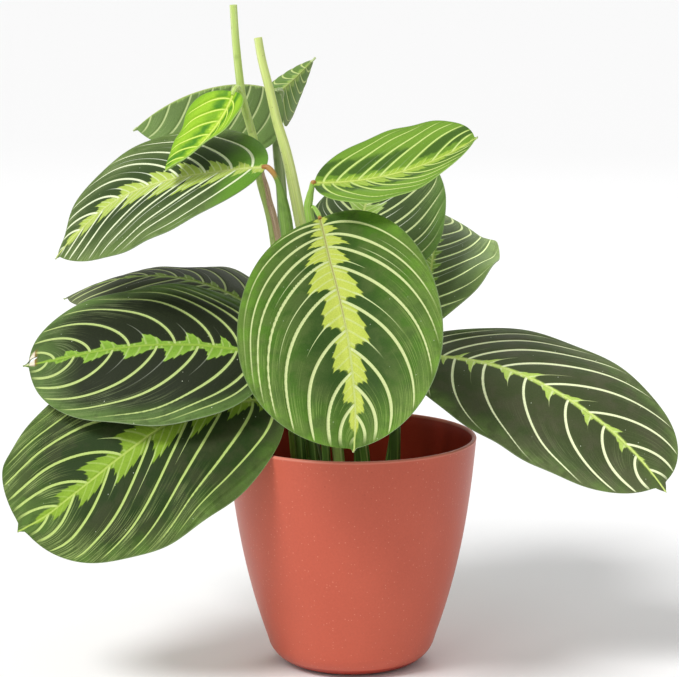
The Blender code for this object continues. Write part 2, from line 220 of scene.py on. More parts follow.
print("a field can be changed by:", [n for n in vars(Field) if n[0] != "_"])


# %% A screen colour
def tone(red, green, blue):
    """A screen colour, 0 to 255, as the linear colour that nodes use."""
    def linear(c):
        c /= 255
        return c / 12.92 if c <= 0.04045 else ((c + 0.055) / 1.055) ** 2.4
    return (linear(red), linear(green), linear(blue), 1.0)


print("mid grey:", [round(c, 3) for c in tone(128, 128, 128)])


# %% A finish: one material and its fields
class Finish:
    def __init__(self, name, roughness, specular):
        self.material = bpy.data.materials.new(name)
        self.material.use_nodes = True
        self.tree = self.material.node_tree
        self.bsdf = self.tree.nodes["Principled BSDF"]
        self.bsdf.inputs["Roughness"].default_value = roughness
        self.bsdf.inputs["Specular IOR Level"].default_value = specular

    def split(self, socket):
        """The three numbers of a vector."""
        node = self.tree.nodes.new("ShaderNodeSeparateXYZ")
        self.tree.links.new(socket, node.inputs[0])
        return [Field(self.tree, number) for number in node.outputs]

    def uv(self, name):
        """The two numbers of a UV map."""
        node = self.tree.nodes.new("ShaderNodeUVMap")
        node.uv_map = name
        return self.split(node.outputs["UV"])[:2]

    def place(self):
        """Place in the model, in metres."""
        node = self.tree.nodes.new("ShaderNodeTexCoord")
        return self.split(node.outputs["Object"])

    def vector(self, x, y, z=0.0):
        node = self.tree.nodes.new("ShaderNodeCombineXYZ")
        for slot, value in zip(node.inputs, (x, y, z)):
            feed(self.tree, slot, value)
        return node.outputs[0]

    def cloud(self, vector, scale, detail=2.0, rough=0.5):
        """Soft noise from 0 to 1 at a place."""
        node = self.tree.nodes.new("ShaderNodeTexNoise")
        node.inputs["Scale"].default_value = scale
        node.inputs["Detail"].default_value = detail
        node.inputs["Roughness"].default_value = rough
        self.tree.links.new(vector, node.inputs["Vector"])
        return Field(self.tree, node.outputs["Fac"])

    def cells(self, vector, scale):
        """Distance to the nearest of many scattered points, and its lot."""
        node = self.tree.nodes.new("ShaderNodeTexVoronoi")
        node.inputs["Scale"].default_value = scale
        self.tree.links.new(vector, node.inputs["Vector"])
        lot = self.tree.nodes.new("ShaderNodeSeparateColor")
        self.tree.links.new(node.outputs["Color"], lot.inputs[0])
        return (Field(self.tree, node.outputs["Distance"]),
                Field(self.tree, lot.outputs[0]))

    def dots(self, vector, scale, edge, lots):
        """Scattered round dots: their soft edge, and which lots have one."""
        far, lot = self.cells(vector, scale)
        return far.ramp(*edge).flipped() * lot.ramp(*lots)

    def lot(self, number):
        """A random number from 0 to 1 for each whole number."""
        node = self.tree.nodes.new("ShaderNodeTexWhiteNoise")
        node.noise_dimensions = "1D"
        self.tree.links.new(number.socket, node.inputs["W"])
        return Field(self.tree, node.outputs["Value"])

    def blend(self, share, under, over):
        """Under where share is 0, over where it is 1."""
        node = self.tree.nodes.new("ShaderNodeMix")
        node.data_type = "RGBA"
        self.tree.links.new(share.socket, node.inputs[0])
        for slot, value in ((node.inputs[6], under), (node.inputs[7], over)):
            if isinstance(value, tuple):
                slot.default_value = value
            else:
                self.tree.links.new(value, slot)
        return node.outputs[2]

    def shade(self, colour, amount):
        """Make a colour lighter or darker by a field round 1."""
        node = self.tree.nodes.new("ShaderNodeVectorMath")
        node.operation = "SCALE"
        self.tree.links.new(colour, node.inputs[0])
        self.tree.links.new(amount.socket, node.inputs["Scale"])
        return node.outputs[0]

    def wear(self, colour, roughness, height, depth):
        """Join colour, roughness and relief (depth in metres) to the surface."""
        link = self.tree.links.new
        link(colour, self.bsdf.inputs["Base Color"])
        if roughness is not None:
            link(roughness.socket, self.bsdf.inputs["Roughness"])
        bump = self.tree.nodes.new("ShaderNodeBump")
        bump.inputs["Distance"].default_value = depth
        bump.inputs["Strength"].default_value = 1.0
        link(height.socket, bump.inputs["Height"])
        link(bump.outputs["Normal"], self.bsdf.inputs["Normal"])
        return self.material


print("a finish can make:", [n for n in vars(Finish) if n[0] != "_"])

# %% [markdown]
# ## The shape of a blade
# A prayer plant's blade is an oval sheet.  Its midrib droops and turns, each
# half folds up or down from the midrib and curls on towards the margin, and
# the margin waves a little.  Starting from a flat grid, every point is put in
# its place by those few numbers; a pulled and pushed grid would never match
# twelve different leaves.  The numbers are those of the packed blades.

# %% Blade sizes and poses
# base and size (length, width) are in mm.  heading, pitch and roll are angles of
# the midrib, first at the stem and then at the tip.  fold and curl are angles of
# the left half and of the right one.  outline says where the blade is widest and
# how full it is, lobe (mm) how far its lower corners reach back, wave how tall
# (mm), how many and how shifted the waves of the margin are, point how drawn out
# the tip is, and flare on which side (1 right), where and how much it bulges.
def blade(base, size, heading, pitch, roll, fold, curl, outline, lobe, wave,
          point, flare=(0, 0, 0)):
    return dict(base=base, size=size, heading=heading, pitch=pitch, roll=roll,
                fold=fold, curl=curl, outline=outline, lobe=lobe, wave=wave,
                point=point, flare=flare)


BLADES = {
    "blade_front": blade(
        (-16, -27.5, 237), (143, 102), (-79, -83), (-30, -57), (-14, -4),
        (19, 5), (-2, -11), (0.57, 0.54), 1, (0.6, 1.9, 0.1), 1.0),
    "blade_upper_left": blade(
        (-45.5, -23, 263), (128, 87), (162, 166), (2, -51), (20, 36),
        (1, 8), (-19, -8), (0.43, 0.71), 2, (0.5, 3.5, 0.2), 1.2,
        (1, 0.92, -0.15)),
    "blade_young": blade(
        (-60.5, -5, 297.5), (54, 39), (223, 190), (-61, -26), (11, 8),
        (23, 22), (4, -6), (0.25, 0.66), 2, (0.8, 2.5, 0.4), 0.8),
    "blade_upper_right": blade(
        (-18, -22, 255), (88, 68.5), (-5, -24), (0, 34), (-23, -31),
        (15, 16), (-10, -9), (0.47, 0.59), 1, (0.5, 3.2, 0.57), 1.2),
    "blade_behind": blade(
        (-0.5, 11.5, 200), (113, 88), (82, 70), (44, 23), (-6, 13),
        (-4, 1), (-33, -23), (0.41, 0.58), 2, (1.2, 2.5, 0.0), 1.0),
    "blade_far_right": blade(
        (37.5, 28, 172.5), (107, 73), (79, 86), (46, 10), (30, -27),
        (8, 9), (-15, -13), (0.42, 0.61), 2, (2.0, 3.0, 0.3), 1.2),
    "blade_right": blade(
        (26.5, -8, 164.5), (159, 95), (-5, -34), (2, -50), (-13, -26),
        (5, -6), (-12, -21), (0.43, 0.51), 2, (0.7, 3.5, 0.75), 1.8),
    "blade_left": blade(
        (-38.5, -31, 171.5), (131, 90), (183, 170), (8, -17), (33, 39),
        (-7, 5), (-22, -15), (0.41, 0.41), 2, (1.1, 2.7, 0.13), 1.3),
    "blade_lower_left": blade(
        (-38.5, -25, 144.5), (150, 103), (206, 186), (-8, -40), (24, 47),
        (-6, 9), (-20, 1), (0.53, 0.46), 2, (1.5, 3.0, 0.6), 1.5,
        (1, 0.93, 0.08)),
    "blade_back_low": blade(
        (-47, 24, 180.5), (117, 76), (157, 172), (33, -30), (20, -2),
        (-6, 1), (-32, -21), (0.42, 0.59), 2, (1.5, 3.0, 0.35), 1.2),
    "blade_back_left": blade(
        (-40, 74, 293.1), (90, 87), (225, 179), (20, -45), (14, 17),
        (-34, -38), (-6, -12), (0.37, 0.54), 3, (1.2, 3.0, 0.1), 1.2),
    "blade_back_tip": blade(
        (-37.5, 80.5, 292.6), (58, 53), (74, 69), (9, 17), (-11, -29),
        (-32, -74), (-30, -16), (0.41, 0.61), 2, (0.8, 2.5, 0.2), 1.2),
}
print("blades:", len(BLADES))


# %% The midrib
MIDRIB_STEPS = 80


def midrib(shape):
    """Places along the midrib, and forward, right and up directions."""
    u = np.linspace(0, 1, MIDRIB_STEPS + 1)
    head, pitch, roll = (np.radians(a + (b - a) * u) for a, b in (
        shape["heading"], shape["pitch"], shape["roll"]))
    ahead = np.stack([np.cos(pitch) * np.cos(head),
                      np.cos(pitch) * np.sin(head), np.sin(pitch)], 1)
    step = (ahead[1:] + ahead[:-1]) / 2 * (shape["size"][0] / MIDRIB_STEPS)
    place = np.array(shape["base"], float) + np.vstack(
        [np.zeros(3), np.cumsum(step, axis=0)])
    level = np.stack([np.sin(head), -np.cos(head), 0 * head], 1)
    lift = np.cross(level, ahead)
    c, s = np.cos(roll)[:, None], np.sin(roll)[:, None]
    return u, place, ahead, level * c + lift * s, lift * c - level * s


print("front blade's tip at", midrib(BLADES["blade_front"])[1][-1].round(1))

# %% The outline
OVAL_POWER = 2.1                    # 2 would be an ellipse
TIP_PULL = 0.03                     # narrows the far half a little for a long tip
FLARE_LENGTH, FLARE_END = 0.05, 0.04    # shares of the blade's length


def half_width(shape, u, on_right):
    """From the middle line to the margin, in mm."""
    widest, fullness = shape["outline"]
    near = np.sqrt(np.clip(1 - ((widest - u) / widest) ** 2, 0, 1))
    s = np.clip((u - widest) / (1 - widest), 0, 1)
    oval = 1 - np.clip(s * (1 + TIP_PULL * shape["point"]), 0, 1) ** OVAL_POWER
    tip = shape["point"] * (1 - s) * s ** 4
    far = (oval ** (3 * fullness) + tip ** 3) ** (1 / 3)
    share = np.where(u < widest, near, far)
    side, middle, more = shape["flare"]
    flare = more * np.exp(-((u - middle) / FLARE_LENGTH) ** 2)
    flare = flare * np.clip((1 - u) / FLARE_END, 0, 1)
    share = share + np.where(on_right == (side == 1), flare, 0)
    return shape["size"][1] / 2 * share


print("half of the front blade's width, at its widest:",
      half_width(BLADES["blade_front"], 0.56, True).round(1), "mm")

# %% From along-and-across to a place in space
OUT_OF_STEP = 0.37      # the left margin waves this much of a turn later
LOBE_LENGTH = 0.12      # share of the length over which a lobe dies away


def blade_points(shape, u, v):
    """Places (mm) on the upper face; v is -1 at the left margin, 1 right."""
    table = midrib(shape)

    def at(rows):
        return np.stack([np.interp(u, table[0], rows[:, i])
                         for i in range(3)], 1)
    place, ahead, right, up = (at(rows) for rows in table[1:])
    side, t = np.where(v < 0, -1.0, 1.0), np.abs(v)
    fold = np.radians(np.where(v < 0, *shape["fold"]))
    curl = np.radians(np.where(v < 0, *shape["curl"])) + 1e-6   # it divides
    w = half_width(shape, u, v >= 0)
    out = w * (np.sin(fold + curl * t) - np.sin(fold)) / curl
    rise = w * (np.cos(fold) - np.cos(fold + curl * t)) / curl
    tall, count, phase = shape["wave"]
    turn = count * u + phase + np.where(v < 0, OUT_OF_STEP, 0.0)
    rise = rise + tall * t * t * np.sin(2 * np.pi * turn) * np.sin(np.pi * u)
    back = shape["lobe"] * t * t * np.exp(-u / LOBE_LENGTH)
    return (place + right * (side * out)[:, None] + up * rise[:, None]
            - ahead * back[:, None])


margins = blade_points(BLADES["blade_front"], np.array([.5, .5]), np.array([-1, 1]))
print("front blade's margins, halfway:", margins.round(1).tolist())


# %% [markdown]
# ## Where the veins run
# Each side vein leaves the midrib, arches out and then bends towards the tip,
# nearly along the margin.  All veins of a leaf belong to one family of curves,
# so any point of the blade lies on exactly one of them.  Finding that curve
# gives the point a number: whole numbers are the real veins, and a half is
# midway between two.  The finish later reads this number to draw veins,
# feathered lime patches and fine streaks, all bending together.  Thin tubes on
# the sheet could show the veins too, but not what lies between them.

# %% The family of side veins
HALVINGS = 34       # enough to find a start to ten digits


def vein_reach(start, x, bend):
    """Distance from the midrib, as a share of the half width."""
    peak, early, late, turn, gain, crowd = bend
    left = 1 - start
    trip = np.clip((x - start) / left, 0, 1) / peak
    power = late - (late - early) * np.exp(-np.clip(start, 0, 1) / turn)
    shrink = np.maximum(left, 0) ** crowd       # beyond the tip, no vein at all
    return gain * shrink * np.sin(np.pi / 2 * trip ** power)


def vein_start(x, reach, bend):
    """Where on the midrib the vein through a point starts, by halving."""
    low, high = np.full_like(x, -1.0), x.copy()
    for _ in range(HALVINGS):
        middle = (low + high) / 2
        beyond = vein_reach(middle, x, bend) > reach
        low = np.where(beyond, middle, low)
        high = np.where(beyond, high, middle)
    return (low + high) / 2


def vein_number(start, starts):
    """Whole numbers at the starts, in between elsewhere."""
    starts = np.array(starts, float)
    whole = np.arange(len(starts), dtype=float)
    number = np.interp(start, starts, whole)
    before = (start - starts[0]) / (starts[1] - starts[0])
    after = whole[-1] + (start - starts[-1]) / (starts[-1] - starts[-2])
    number = np.where(start < starts[0], before, number)
    return np.where(start > starts[-1], after, number) + 1.0


print("midway between the first two veins:", vein_number(0.15, (0.1, 0.2, 0.3)))

# %% Where each vein starts
# shares of the midrib's length, on the left half and on the right one
VEIN_STARTS = {
    "blade_front": ((.035, .087, .15, .245, .41, .615, .76, .87),
                    (.02, .05, .095, .145, .22, .355, .54, .71, .83)),
    "blade_upper_left": ((.04, .10, .17, .29, .42, .58, .71, .82),
                         (.04, .12, .23, .35, .49, .63, .74, .84)),
    "blade_young": ((.05, .14, .27, .42, .58, .74), (.04, .15, .28, .44, .6, .76)),
    "blade_upper_right": ((.04, .115, .24, .365, .51, .69, .82),
                          (.04, .095, .20, .29, .40, .51, .64, .78, .88)),
    "blade_behind": ((.04, .11, .19, .28, .39, .51, .64, .77, .88),
                     (.03, .09, .16, .25, .36, .48, .61, .74, .86)),
    "blade_far_right": ((.04, .10, .18, .27, .38, .50, .63, .76, .87),
                        (.03, .09, .16, .25, .35, .46, .57, .68, .80)),
    "blade_right": ((.03, .07, .13, .21, .32, .47, .64, .80, .91),
                    (.03, .09, .17, .27, .41, .565, .71, .85)),
    "blade_left": ((.02, .07, .15, .30, .46, .635, .79, .90),
                   (.02, .07, .14, .24, .39, .57, .725, .87)),
    "blade_lower_left": ((.02, .08, .18, .30, .45, .62, .77, .88),
                         (.02, .08, .15, .26, .40, .57, .715, .84)),
    "blade_back_low": ((.03, .09, .18, .29, .42, .56, .71, .85),
                       (.03, .10, .20, .31, .44, .58, .73, .86)),
    "blade_back_left": ((.04, .11, .20, .32, .45, .59, .73, .86),
                        (.03, .10, .19, .30, .43, .57, .72, .85)),
    "blade_back_tip": ((.05, .14, .26, .40, .56, .73), (.04, .14, .27, .42, .58, .75)),
}
print("veins:", sum(len(a) + len(b) for a, b in VEIN_STARTS.values()))

# %% How the veins bend
# peak: where a vein lies furthest out, as a share of the way to the tip; early
# and late: how straight the first veins and the later ones set off; turn: how
# soon the ones change into the others; gain and crowd: how far out they reach,
# and how fast that shrinks towards the tip
ARCHED = (0.70, 0.54, 0.90, 0.12, 1.06, 1.15)
HANGING = (0.62, 0.47, 0.78, 0.12, 1.06, 1.15)
STEEP = (0.50, 0.28, 0.80, 0.60, 1.30, 1.10)
VEIN_BEND = {
    "blade_right": ((0.70, 0.54, 0.90, 0.12, 1.20, 1.0), STEEP),
    "blade_far_right": (ARCHED, STEEP),
    "blade_left": ((0.54, 0.66, 0.66, 0.12, 1.0, 1.0),
                   (0.70, 0.62, 0.62, 0.12, 1.1, 0.95)),
}
print("blades with a bend of their own:", list(VEIN_BEND))

# %% The swaying midrib
# how far it sways towards the left half, in mm, along its length
SWAY = {
    "blade_front": ((0, 0), (.2, 0), (.4, 1.6), (.6, 3.1), (.8, 3.0), (.9, 2.2), (1, 0)),
    "blade_upper_left": ((0, 0), (.1, 2.7), (.2, 4.5), (.3, 3.0), (.4, 1.2), (.5, -.8),
                         (.6, -2.3), (.7, -3), (.8, -1), (.9, -.8), (1, 0)),
    "blade_left": ((0, 0), (.1, 3.5), (.2, 2.1), (.3, .8), (.5, 0), (.9, 1.2), (1, 0)),
    "blade_right": ((0, 0), (.15, 0), (.3, 1.4), (.45, .5), (.6, -.4), (1, 0)),
    "blade_lower_left": ((0, 0), (.1, -4), (.2, -7), (.3, -8), (.4, -7), (.5, -4),
                         (.6, -1.4), (.7, 1.4), (.8, 2.6), (.9, 3.6), (1, 0)),
}


SWAY_BLUR, SWAY_MOST = 0.04, 0.3


def sway(name, u, half):
    """Sway of the midrib, kept well inside the blade."""
    knots, offsets = zip(*SWAY.get(name, ((0, 0), (1, 0))))
    smooth = sum(np.interp(u + d, knots, offsets)
                 for d in (-SWAY_BLUR, 0, SWAY_BLUR)) / 3
    return np.clip(smooth, -SWAY_MOST * half, SWAY_MOST * half)


print("sway of the front midrib:", sway("blade_front", 0.6, 50.0).round(1), "mm")


# %% [markdown]
# ## Making the blades
# A grid is added, its own UV map keeps "along" and "across", and every point
# moves to its place.  Two more maps are stored per face corner, because the
# two halves of a leaf have their own veins and meet at the midrib: `veins`
# holds the vein number and how far out the point lies, and `scale` holds the
# real distance between veins and from the midrib, so that a line can be drawn
# a millimetre wide wherever it is.  Between veins the sheet swells a little.

# %% A grid with its own UV map
def add_grid(name, x_faces, y_faces):
    """A flat grid, one metre square, alone and with a UV map called sheet."""
    deselect()
    bpy.ops.mesh.primitive_grid_add(
        x_subdivisions=x_faces, y_subdivisions=y_faces, size=1)
    piece = bpy.context.object
    piece.name = piece.data.name = name
    piece.data.uv_layers[0].name = "sheet"
    return piece


def read(items, field, width=1, kind=float):
    """One field of all vertices, faces or corners, a row for each."""
    values = np.zeros(len(items) * width, kind)
    items.foreach_get(field, values)
    return values.reshape(-1, width) if width > 1 else values


def store_corners(mesh, name, a, b):
    """Keep two numbers for every face corner as a UV map."""
    layer = mesh.uv_layers.new(name=name)
    layer.data.foreach_set("uv", np.stack([a, b], 1).ravel())


ALONG, ACROSS = 150, 84
print("blade grid:", ALONG, "x", ACROSS)

# %% The numbers that the finish will read
STEP = 0.004                        # share of the blade, to measure slopes with
WIDEST_SPACING = 60                 # mm


def side_width(name, u, left):
    """From the drawn midrib to the margin."""
    half = half_width(BLADES[name], u, not left)
    return half + sway(name, u, half) * (-1 if left else 1)


def vein_maps(name, u, v, left):
    """Vein number, out-share, spacing and reach for points of one side."""
    length, width = BLADES[name]["size"]
    bend = VEIN_BEND.get(name, (ARCHED, HANGING))[0 if left else 1]
    starts = VEIN_STARTS[name][0 if left else 1]

    def number(x, y):
        return vein_number(vein_start(x, y, bend), starts)
    t = np.clip(-v if left else v, 0, 1)
    reach = side_width(name, u, left) * t
    y = reach / (width / 2)
    here = number(u, y)
    along = (number(u + STEP, y) - here) / (STEP * length)
    out = (number(u, y + STEP) - here) / (STEP * width / 2)
    spacing = 1 / np.maximum(np.hypot(along, out), 1e-3)
    return here, t, np.clip(spacing, 0, WIDEST_SPACING), reach


print("front blade's width, left of the midrib:",
      side_width("blade_front", 0.6, True).round(1), "mm")

# %% The sheet between the veins
SWELL = 0.4                         # mm, halfway between two veins
SWELL_SINK = 0.6                    # share that the veins lie below the sheet
ROOT_CALM, MARGIN_CALM, TIP_CALM = 9, 0.25, 0.15    # mm, share, share


def swelling(number, t, reach, u):
    """0 at a vein and along every edge, up to 1 between two veins."""
    swell = np.abs(np.sin(np.pi * number)) ** 0.8
    swell *= np.clip(reach / ROOT_CALM, 0, 1) * np.clip((1 - t) / MARGIN_CALM, 0, 1)
    return swell * np.clip((1 - u) / TIP_CALM, 0, 1)


def upwards(shape, u, v):
    """Directions that stand straight up from the sheet."""
    inner, middle = np.clip(u, .02, .98), np.clip(v, -.98, .98)
    normal = np.cross(
        blade_points(shape, inner + .01, v) - blade_points(shape, inner - .01, v),
        blade_points(shape, inner, middle + .02)
        - blade_points(shape, inner, middle - .02))
    return normal / -np.maximum(np.linalg.norm(normal, axis=1), 1e-9)[:, None]


def swayed(name, u, v):
    """Move the grid sideways so that its middle line is the midrib."""
    half = half_width(BLADES[name], u, v > 0)
    return v - sway(name, u, half) * (1 - np.abs(v)) / np.maximum(half, 0.1)


def notch(u, v, cut):
    """Draw the tip back where it is torn: middle, width and depth."""
    if cut is None:
        return u
    middle, width, depth = cut
    pull = depth * np.clip(1 - np.abs(v - middle) / width, 0, 1)
    return u * (1 - pull)


print("swell at a vein and between two:",
      swelling(np.array([2.0, 2.5]), 0.5, 20.0, 0.5).round(2))

# %% One blade from a grid
ROW_CROWD = 0.96        # below 1, rows lie a little closer at the margin


def make_blade(name, cut=None):
    shape = BLADES[name]
    leaf = add_grid("leaf_" + name[6:], ALONG, ACROSS)
    mesh = leaf.data
    flat = read(mesh.vertices, "co", 3)
    share, v = flat[:, 0] + 0.5, flat[:, 1] * -2
    v = np.sign(v) * np.abs(v) ** ROW_CROWD
    u = notch(0.5 - 0.5 * np.cos(np.pi * share), v, cut)
    sides = [vein_maps(name, u, v, left) for left in (True, False)]
    number, t, _, reach = (np.where(v < 0, a, b) for a, b in zip(*sides))
    swell = swelling(number, t, reach, u)
    moved = swayed(name, u, v)
    points = blade_points(shape, u, moved)
    points = points + upwards(shape, u, moved) * (SWELL * (swell - SWELL_SINK))[:, None]

    # each half of the sheet keeps its own numbers, also along the midrib
    corner = read(mesh.loops, "vertex_index", kind=int)
    on_left = np.repeat(read(mesh.polygons, "center", 3)[:, 1] > 0, 4)
    a, b, c, d = (np.where(on_left, l[corner], r[corner])
                  for l, r in zip(*sides))
    store_corners(mesh, "veins", a, b)
    store_corners(mesh, "scale", c, d)
    store_corners(mesh, "place", u[corner], v[corner])
    mesh.vertices.foreach_set("co", (points * MM).ravel())
    mesh.update()
    return leaf


print("points of a blade:", (ALONG + 1) * (ACROSS + 1))

# %% From a sheet to a thin solid
BLADE_THICK = 0.55      # mm


def merge_doubles(distance):
    """In edit mode, join points that lie closer than a distance in metres."""
    bpy.ops.mesh.select_all(action="SELECT")
    bpy.ops.mesh.remove_doubles(threshold=distance)


def thicken(leaf):
    """Close the sheet into a thin solid, paler below."""
    bpy.ops.object.mode_set(mode="EDIT")
    merge_doubles(2e-6)
    bpy.ops.object.mode_set(mode="OBJECT")
    skin = leaf.modifiers.new("thickness", "SOLIDIFY")
    skin.thickness = BLADE_THICK * MM
    skin.offset = -1
    skin.material_offset = 1
    skin.material_offset_rim = 1
    bpy.ops.object.modifier_apply(modifier=skin.name)
    bpy.ops.object.shade_smooth_by_angle(angle=math.radians(50))


print("blades will be", BLADE_THICK, "mm thick")

# %% [markdown]
# ## The finish of the blades
# A young blade is bright lime with a few dark patches; an old one is nearly
# charcoal with thin lime lines.  All share one recipe.  From the midrib out:
# the pale midrib, lime feathers that end in a point and a jagged notch before
# the next vein, the dark ground, a lighter zone and a bright margin.  The
# side veins run over everything, and from many feather tips a hair-thin line
# runs on.  Near the margin fine pale streaks lie beside the veins.  All this
# could be painted by hand on an unwrapped leaf, but sums stay sharp however
# close one looks, and one better sum improves all twelve leaves.

# %% Feather outlines
# height of the feather's edge against the place between two veins
FULL = ((0, .50), (.05, .60), (.12, .52), (.21, .66), (.28, .86), (.33, .78),
        (.40, .76), (.48, .97), (.53, .88), (.60, 1), (.62, .82), (.66, .66),
        (.72, .60), (.745, .64), (.78, .42), (.85, .30), (1, .20))
TOOTHED = ((0, .36), (.07, .50), (.12, .45), (.21, .72), (.26, .62), (.35, .90),
           (.41, .76), (.50, .94), (.55, .90), (.60, 1), (.62, .74), (.66, .56),
           (.71, .48), (.74, .54), (.78, .34), (.86, .22), (1, .14))
STUB = ((0, .28), (.18, .40), (.25, .63), (.31, .58), (.38, .85), (.44, .77),
        (.54, 1), (.60, .98), (.63, .68), (.67, .66), (.70, .42), (.76, .38),
        (.80, .24), (1, .22))
WEDGE = ((0, .24), (.28, .27), (.34, .62), (.39, .64), (.44, .86), (.50, .84),
         (.60, 1), (.63, .66), (.67, .62), (.70, .34), (.76, .30), (1, .24))
SPUR = ((0, .16), (.36, .20), (.42, .42), (.47, .40), (.52, .80), (.60, 1),
        (.62, .66), (.645, .40), (.67, .36), (.70, .18), (1, .16))
FEATHER_TIP = 0.60      # where between two veins a feather is tallest
# how the feathers grow and shrink from the stem end to the tip
GROWTH = ((0, .30), (.08, .55), (.18, .88), (.30, 1), (.42, 1), (.56, .84),
          (.68, .70), (.80, .50), (.90, .26), (1, .05))
print("corners of the feathers:", [len(o) for o in (FULL, TOOTHED, STUB, WEDGE, SPUR)])


# %% The fields of a blade
MIDRIB_STEP = 0.0005    # how soon the left half turns into the right one
HALF_LOTS = 37.0        # gives the two halves different lots


class VeinMap:
    """What both faces of a blade are drawn with; lengths are in mm."""
    def __init__(self, finish):
        self.number, self.out = finish.uv("veins")
        self.spacing, self.reach = finish.uv("scale")
        self.here = finish.vector(*finish.place())
        self.between = self.number.math("FRACT")
        self.near = self.between.least(self.between.flipped()) * self.spacing


class LeafMap(VeinMap):
    """What the upper face needs too, with a lot for each vein of each half."""
    def __init__(self, finish, seed):
        super().__init__(finish)
        self.along, self.across = finish.uv("place")
        self.right = self.across.ramp(-MIDRIB_STEP, MIDRIB_STEP)
        whole = self.number.math("FLOOR")
        self.chance = finish.lot(whole + self.right * HALF_LOTS + seed)


print("maps that every blade keeps:", ("veins", "scale", "place"))


# %% The ground
# noises on the blade, in waves per metre
DRIFT, STAIN, BLOTCH, PATCH_RIM, MOTTLE, JAG, GRAIN = 60, 90, 120, 240, 330, 520, 1500


def streaks(finish, at):
    """Fine pale strands that follow the veins, in the outer part and the tip."""
    strands = finish.cloud(
        finish.vector(at.number * 24.0, at.along * 4.0, at.right * 9.0),
        1.0, 2.0, 0.6).ramp(0.53, 0.61)
    patchy = finish.cloud(
        finish.vector(at.number * 0.8, at.along * 6.0, at.right * 5.0),
        1.0, 1.0).ramp(0.34, 0.50)
    outer = at.out.ramp(0.35, 0.75) * at.along.ramp(0.25, 0.6)
    return strands * outer.most(at.along.ramp(0.70, 0.90)) * patchy


def leaf_ground(finish, look, at):
    """Dark by the midrib, lighter outwards, streaked towards the margin."""
    drift = finish.cloud(at.here, DRIFT, 3) - 0.5
    outward = (at.out + drift * 0.4).ramp(*look["turn"])
    ground = finish.blend(outward, look["dark"], look["mid"])
    margin = (at.out + drift * 0.16).ramp(0.70, 1.0)
    ground = finish.blend(margin, ground, look["edge"])
    tip = (at.along + drift * 0.12).ramp(0.74, 0.98)
    ground = finish.blend(tip * look["tip"], ground, look["edge"])
    if "stain" in look:
        stain = finish.cloud(at.here, STAIN, 3).ramp(0.38, 0.58)
        stain = stain * at.out.ramp(0.1, 0.4)
        ground = finish.blend(stain * look["stain_share"], ground, look["stain"])
    blotch = finish.cloud(at.here, BLOTCH, 3).ramp(0.48, 0.66)
    ground = finish.blend(blotch * look["blotch"], ground, look["dark"])
    if "root" in look:
        root = (at.along + drift * 0.08).ramp(0.06, 0.2).flipped()
        ground = finish.blend(root, ground, look["root"])
    return finish.blend(streaks(finish, at) * look["streaks"], ground, look["streak"])


print("noises, in mm across:", [round(1000 / n, 1) for n in (DRIFT, BLOTCH, GRAIN)])


# %% Dark patches of a young leaf
PATCH_SHARE = 0.9


def dark_patches(finish, look, at, ground):
    """Patches just outside the feathers, one between most pairs of veins."""
    rim = finish.cloud(at.here, PATCH_RIM, 2) - 0.5
    low, high = look["patch_span"]
    inside = (at.reach + rim * 5.0).ramp(low - 1.0, low + 1.0)
    outside = (at.reach + rim * 6.0).ramp(high - 2.5, high + 2.5).flipped()
    place = at.between + rim * 0.2
    clear = place.ramp(0.06, 0.2) * place.ramp(0.80, 0.96).flipped()
    patch = inside * outside * clear * at.chance.ramp(0.05, 0.35)
    return finish.blend(patch * PATCH_SHARE, ground, look["patch"])


print("a patch covers", PATCH_SHARE, "of the ground below it")

# %% Feathers
# half of each soft edge, in mm
FEATHER_SOFT, HAIR_SOFT, VEIN_SOFT = 0.16, 0.09, 0.13
RIBS_IN_FEATHER = 4.0
HAIR_WIDE = 0.34        # mm, half a hair's width where it sets out


def feather_line(finish, look, at):
    """How far from the midrib the lime feather ends, and its growth."""
    first, second = (at.between.curve(outline) for outline in look["feather"])
    edge = first * at.right.flipped() + second * at.right
    tall_left, tall_right = look["feather_mm"]
    tall = at.right * (tall_right - tall_left) + tall_left
    grow = at.along.curve(GROWTH)
    jag = finish.cloud(at.here, JAG, 2) - 0.5
    line = edge * ((at.chance * 0.3 + 0.85) * grow * tall) + jag * 0.7
    line = line.most(grow ** 0.5 * look["band_mm"] + jag * 0.4)
    return line * at.along.ramp(0.89, 0.96).flipped() - 0.2, grow


def leaf_lime(finish, look, at, line, grow):
    """Lime of the feathers, with paler ribs."""
    outer = (at.reach / line.most(0.5)).ramp(0.3, 1.0)
    lime = finish.blend(outer * 0.8, look["lime"], look["lime_edge"])
    mottle = finish.cloud(at.here, MOTTLE, 2).ramp(0.42, 0.7)
    lime = finish.blend(mottle * 0.35, lime, look["lime_edge"])
    ribs = (at.between * RIBS_IN_FEATHER).math("PINGPONG", 0.5)
    return finish.blend((ribs * 2.0).ramp(0.66, 0.98) * 0.55 * grow, lime, look["line"])


def tip_hairs(look, at, line):
    """A pale hair that runs on from the tip of a feather and thins out."""
    away = (at.between - FEATHER_TIP).math("ABSOLUTE") * at.spacing
    length = (at.chance * 1.2 + 0.3) * look["hair_mm"]
    left = (line + length - at.reach) / length
    wide = left * HAIR_WIDE
    hair = away.ramp(wide - HAIR_SOFT, wide + HAIR_SOFT).flipped()
    hair = hair * left.ramp(0.0, 0.12)
    middle = at.along.ramp(0.20, 0.30) * at.along.ramp(0.60, 0.70).flipped()
    return hair * at.reach.ramp(line * 0.6, line * 0.8) * middle


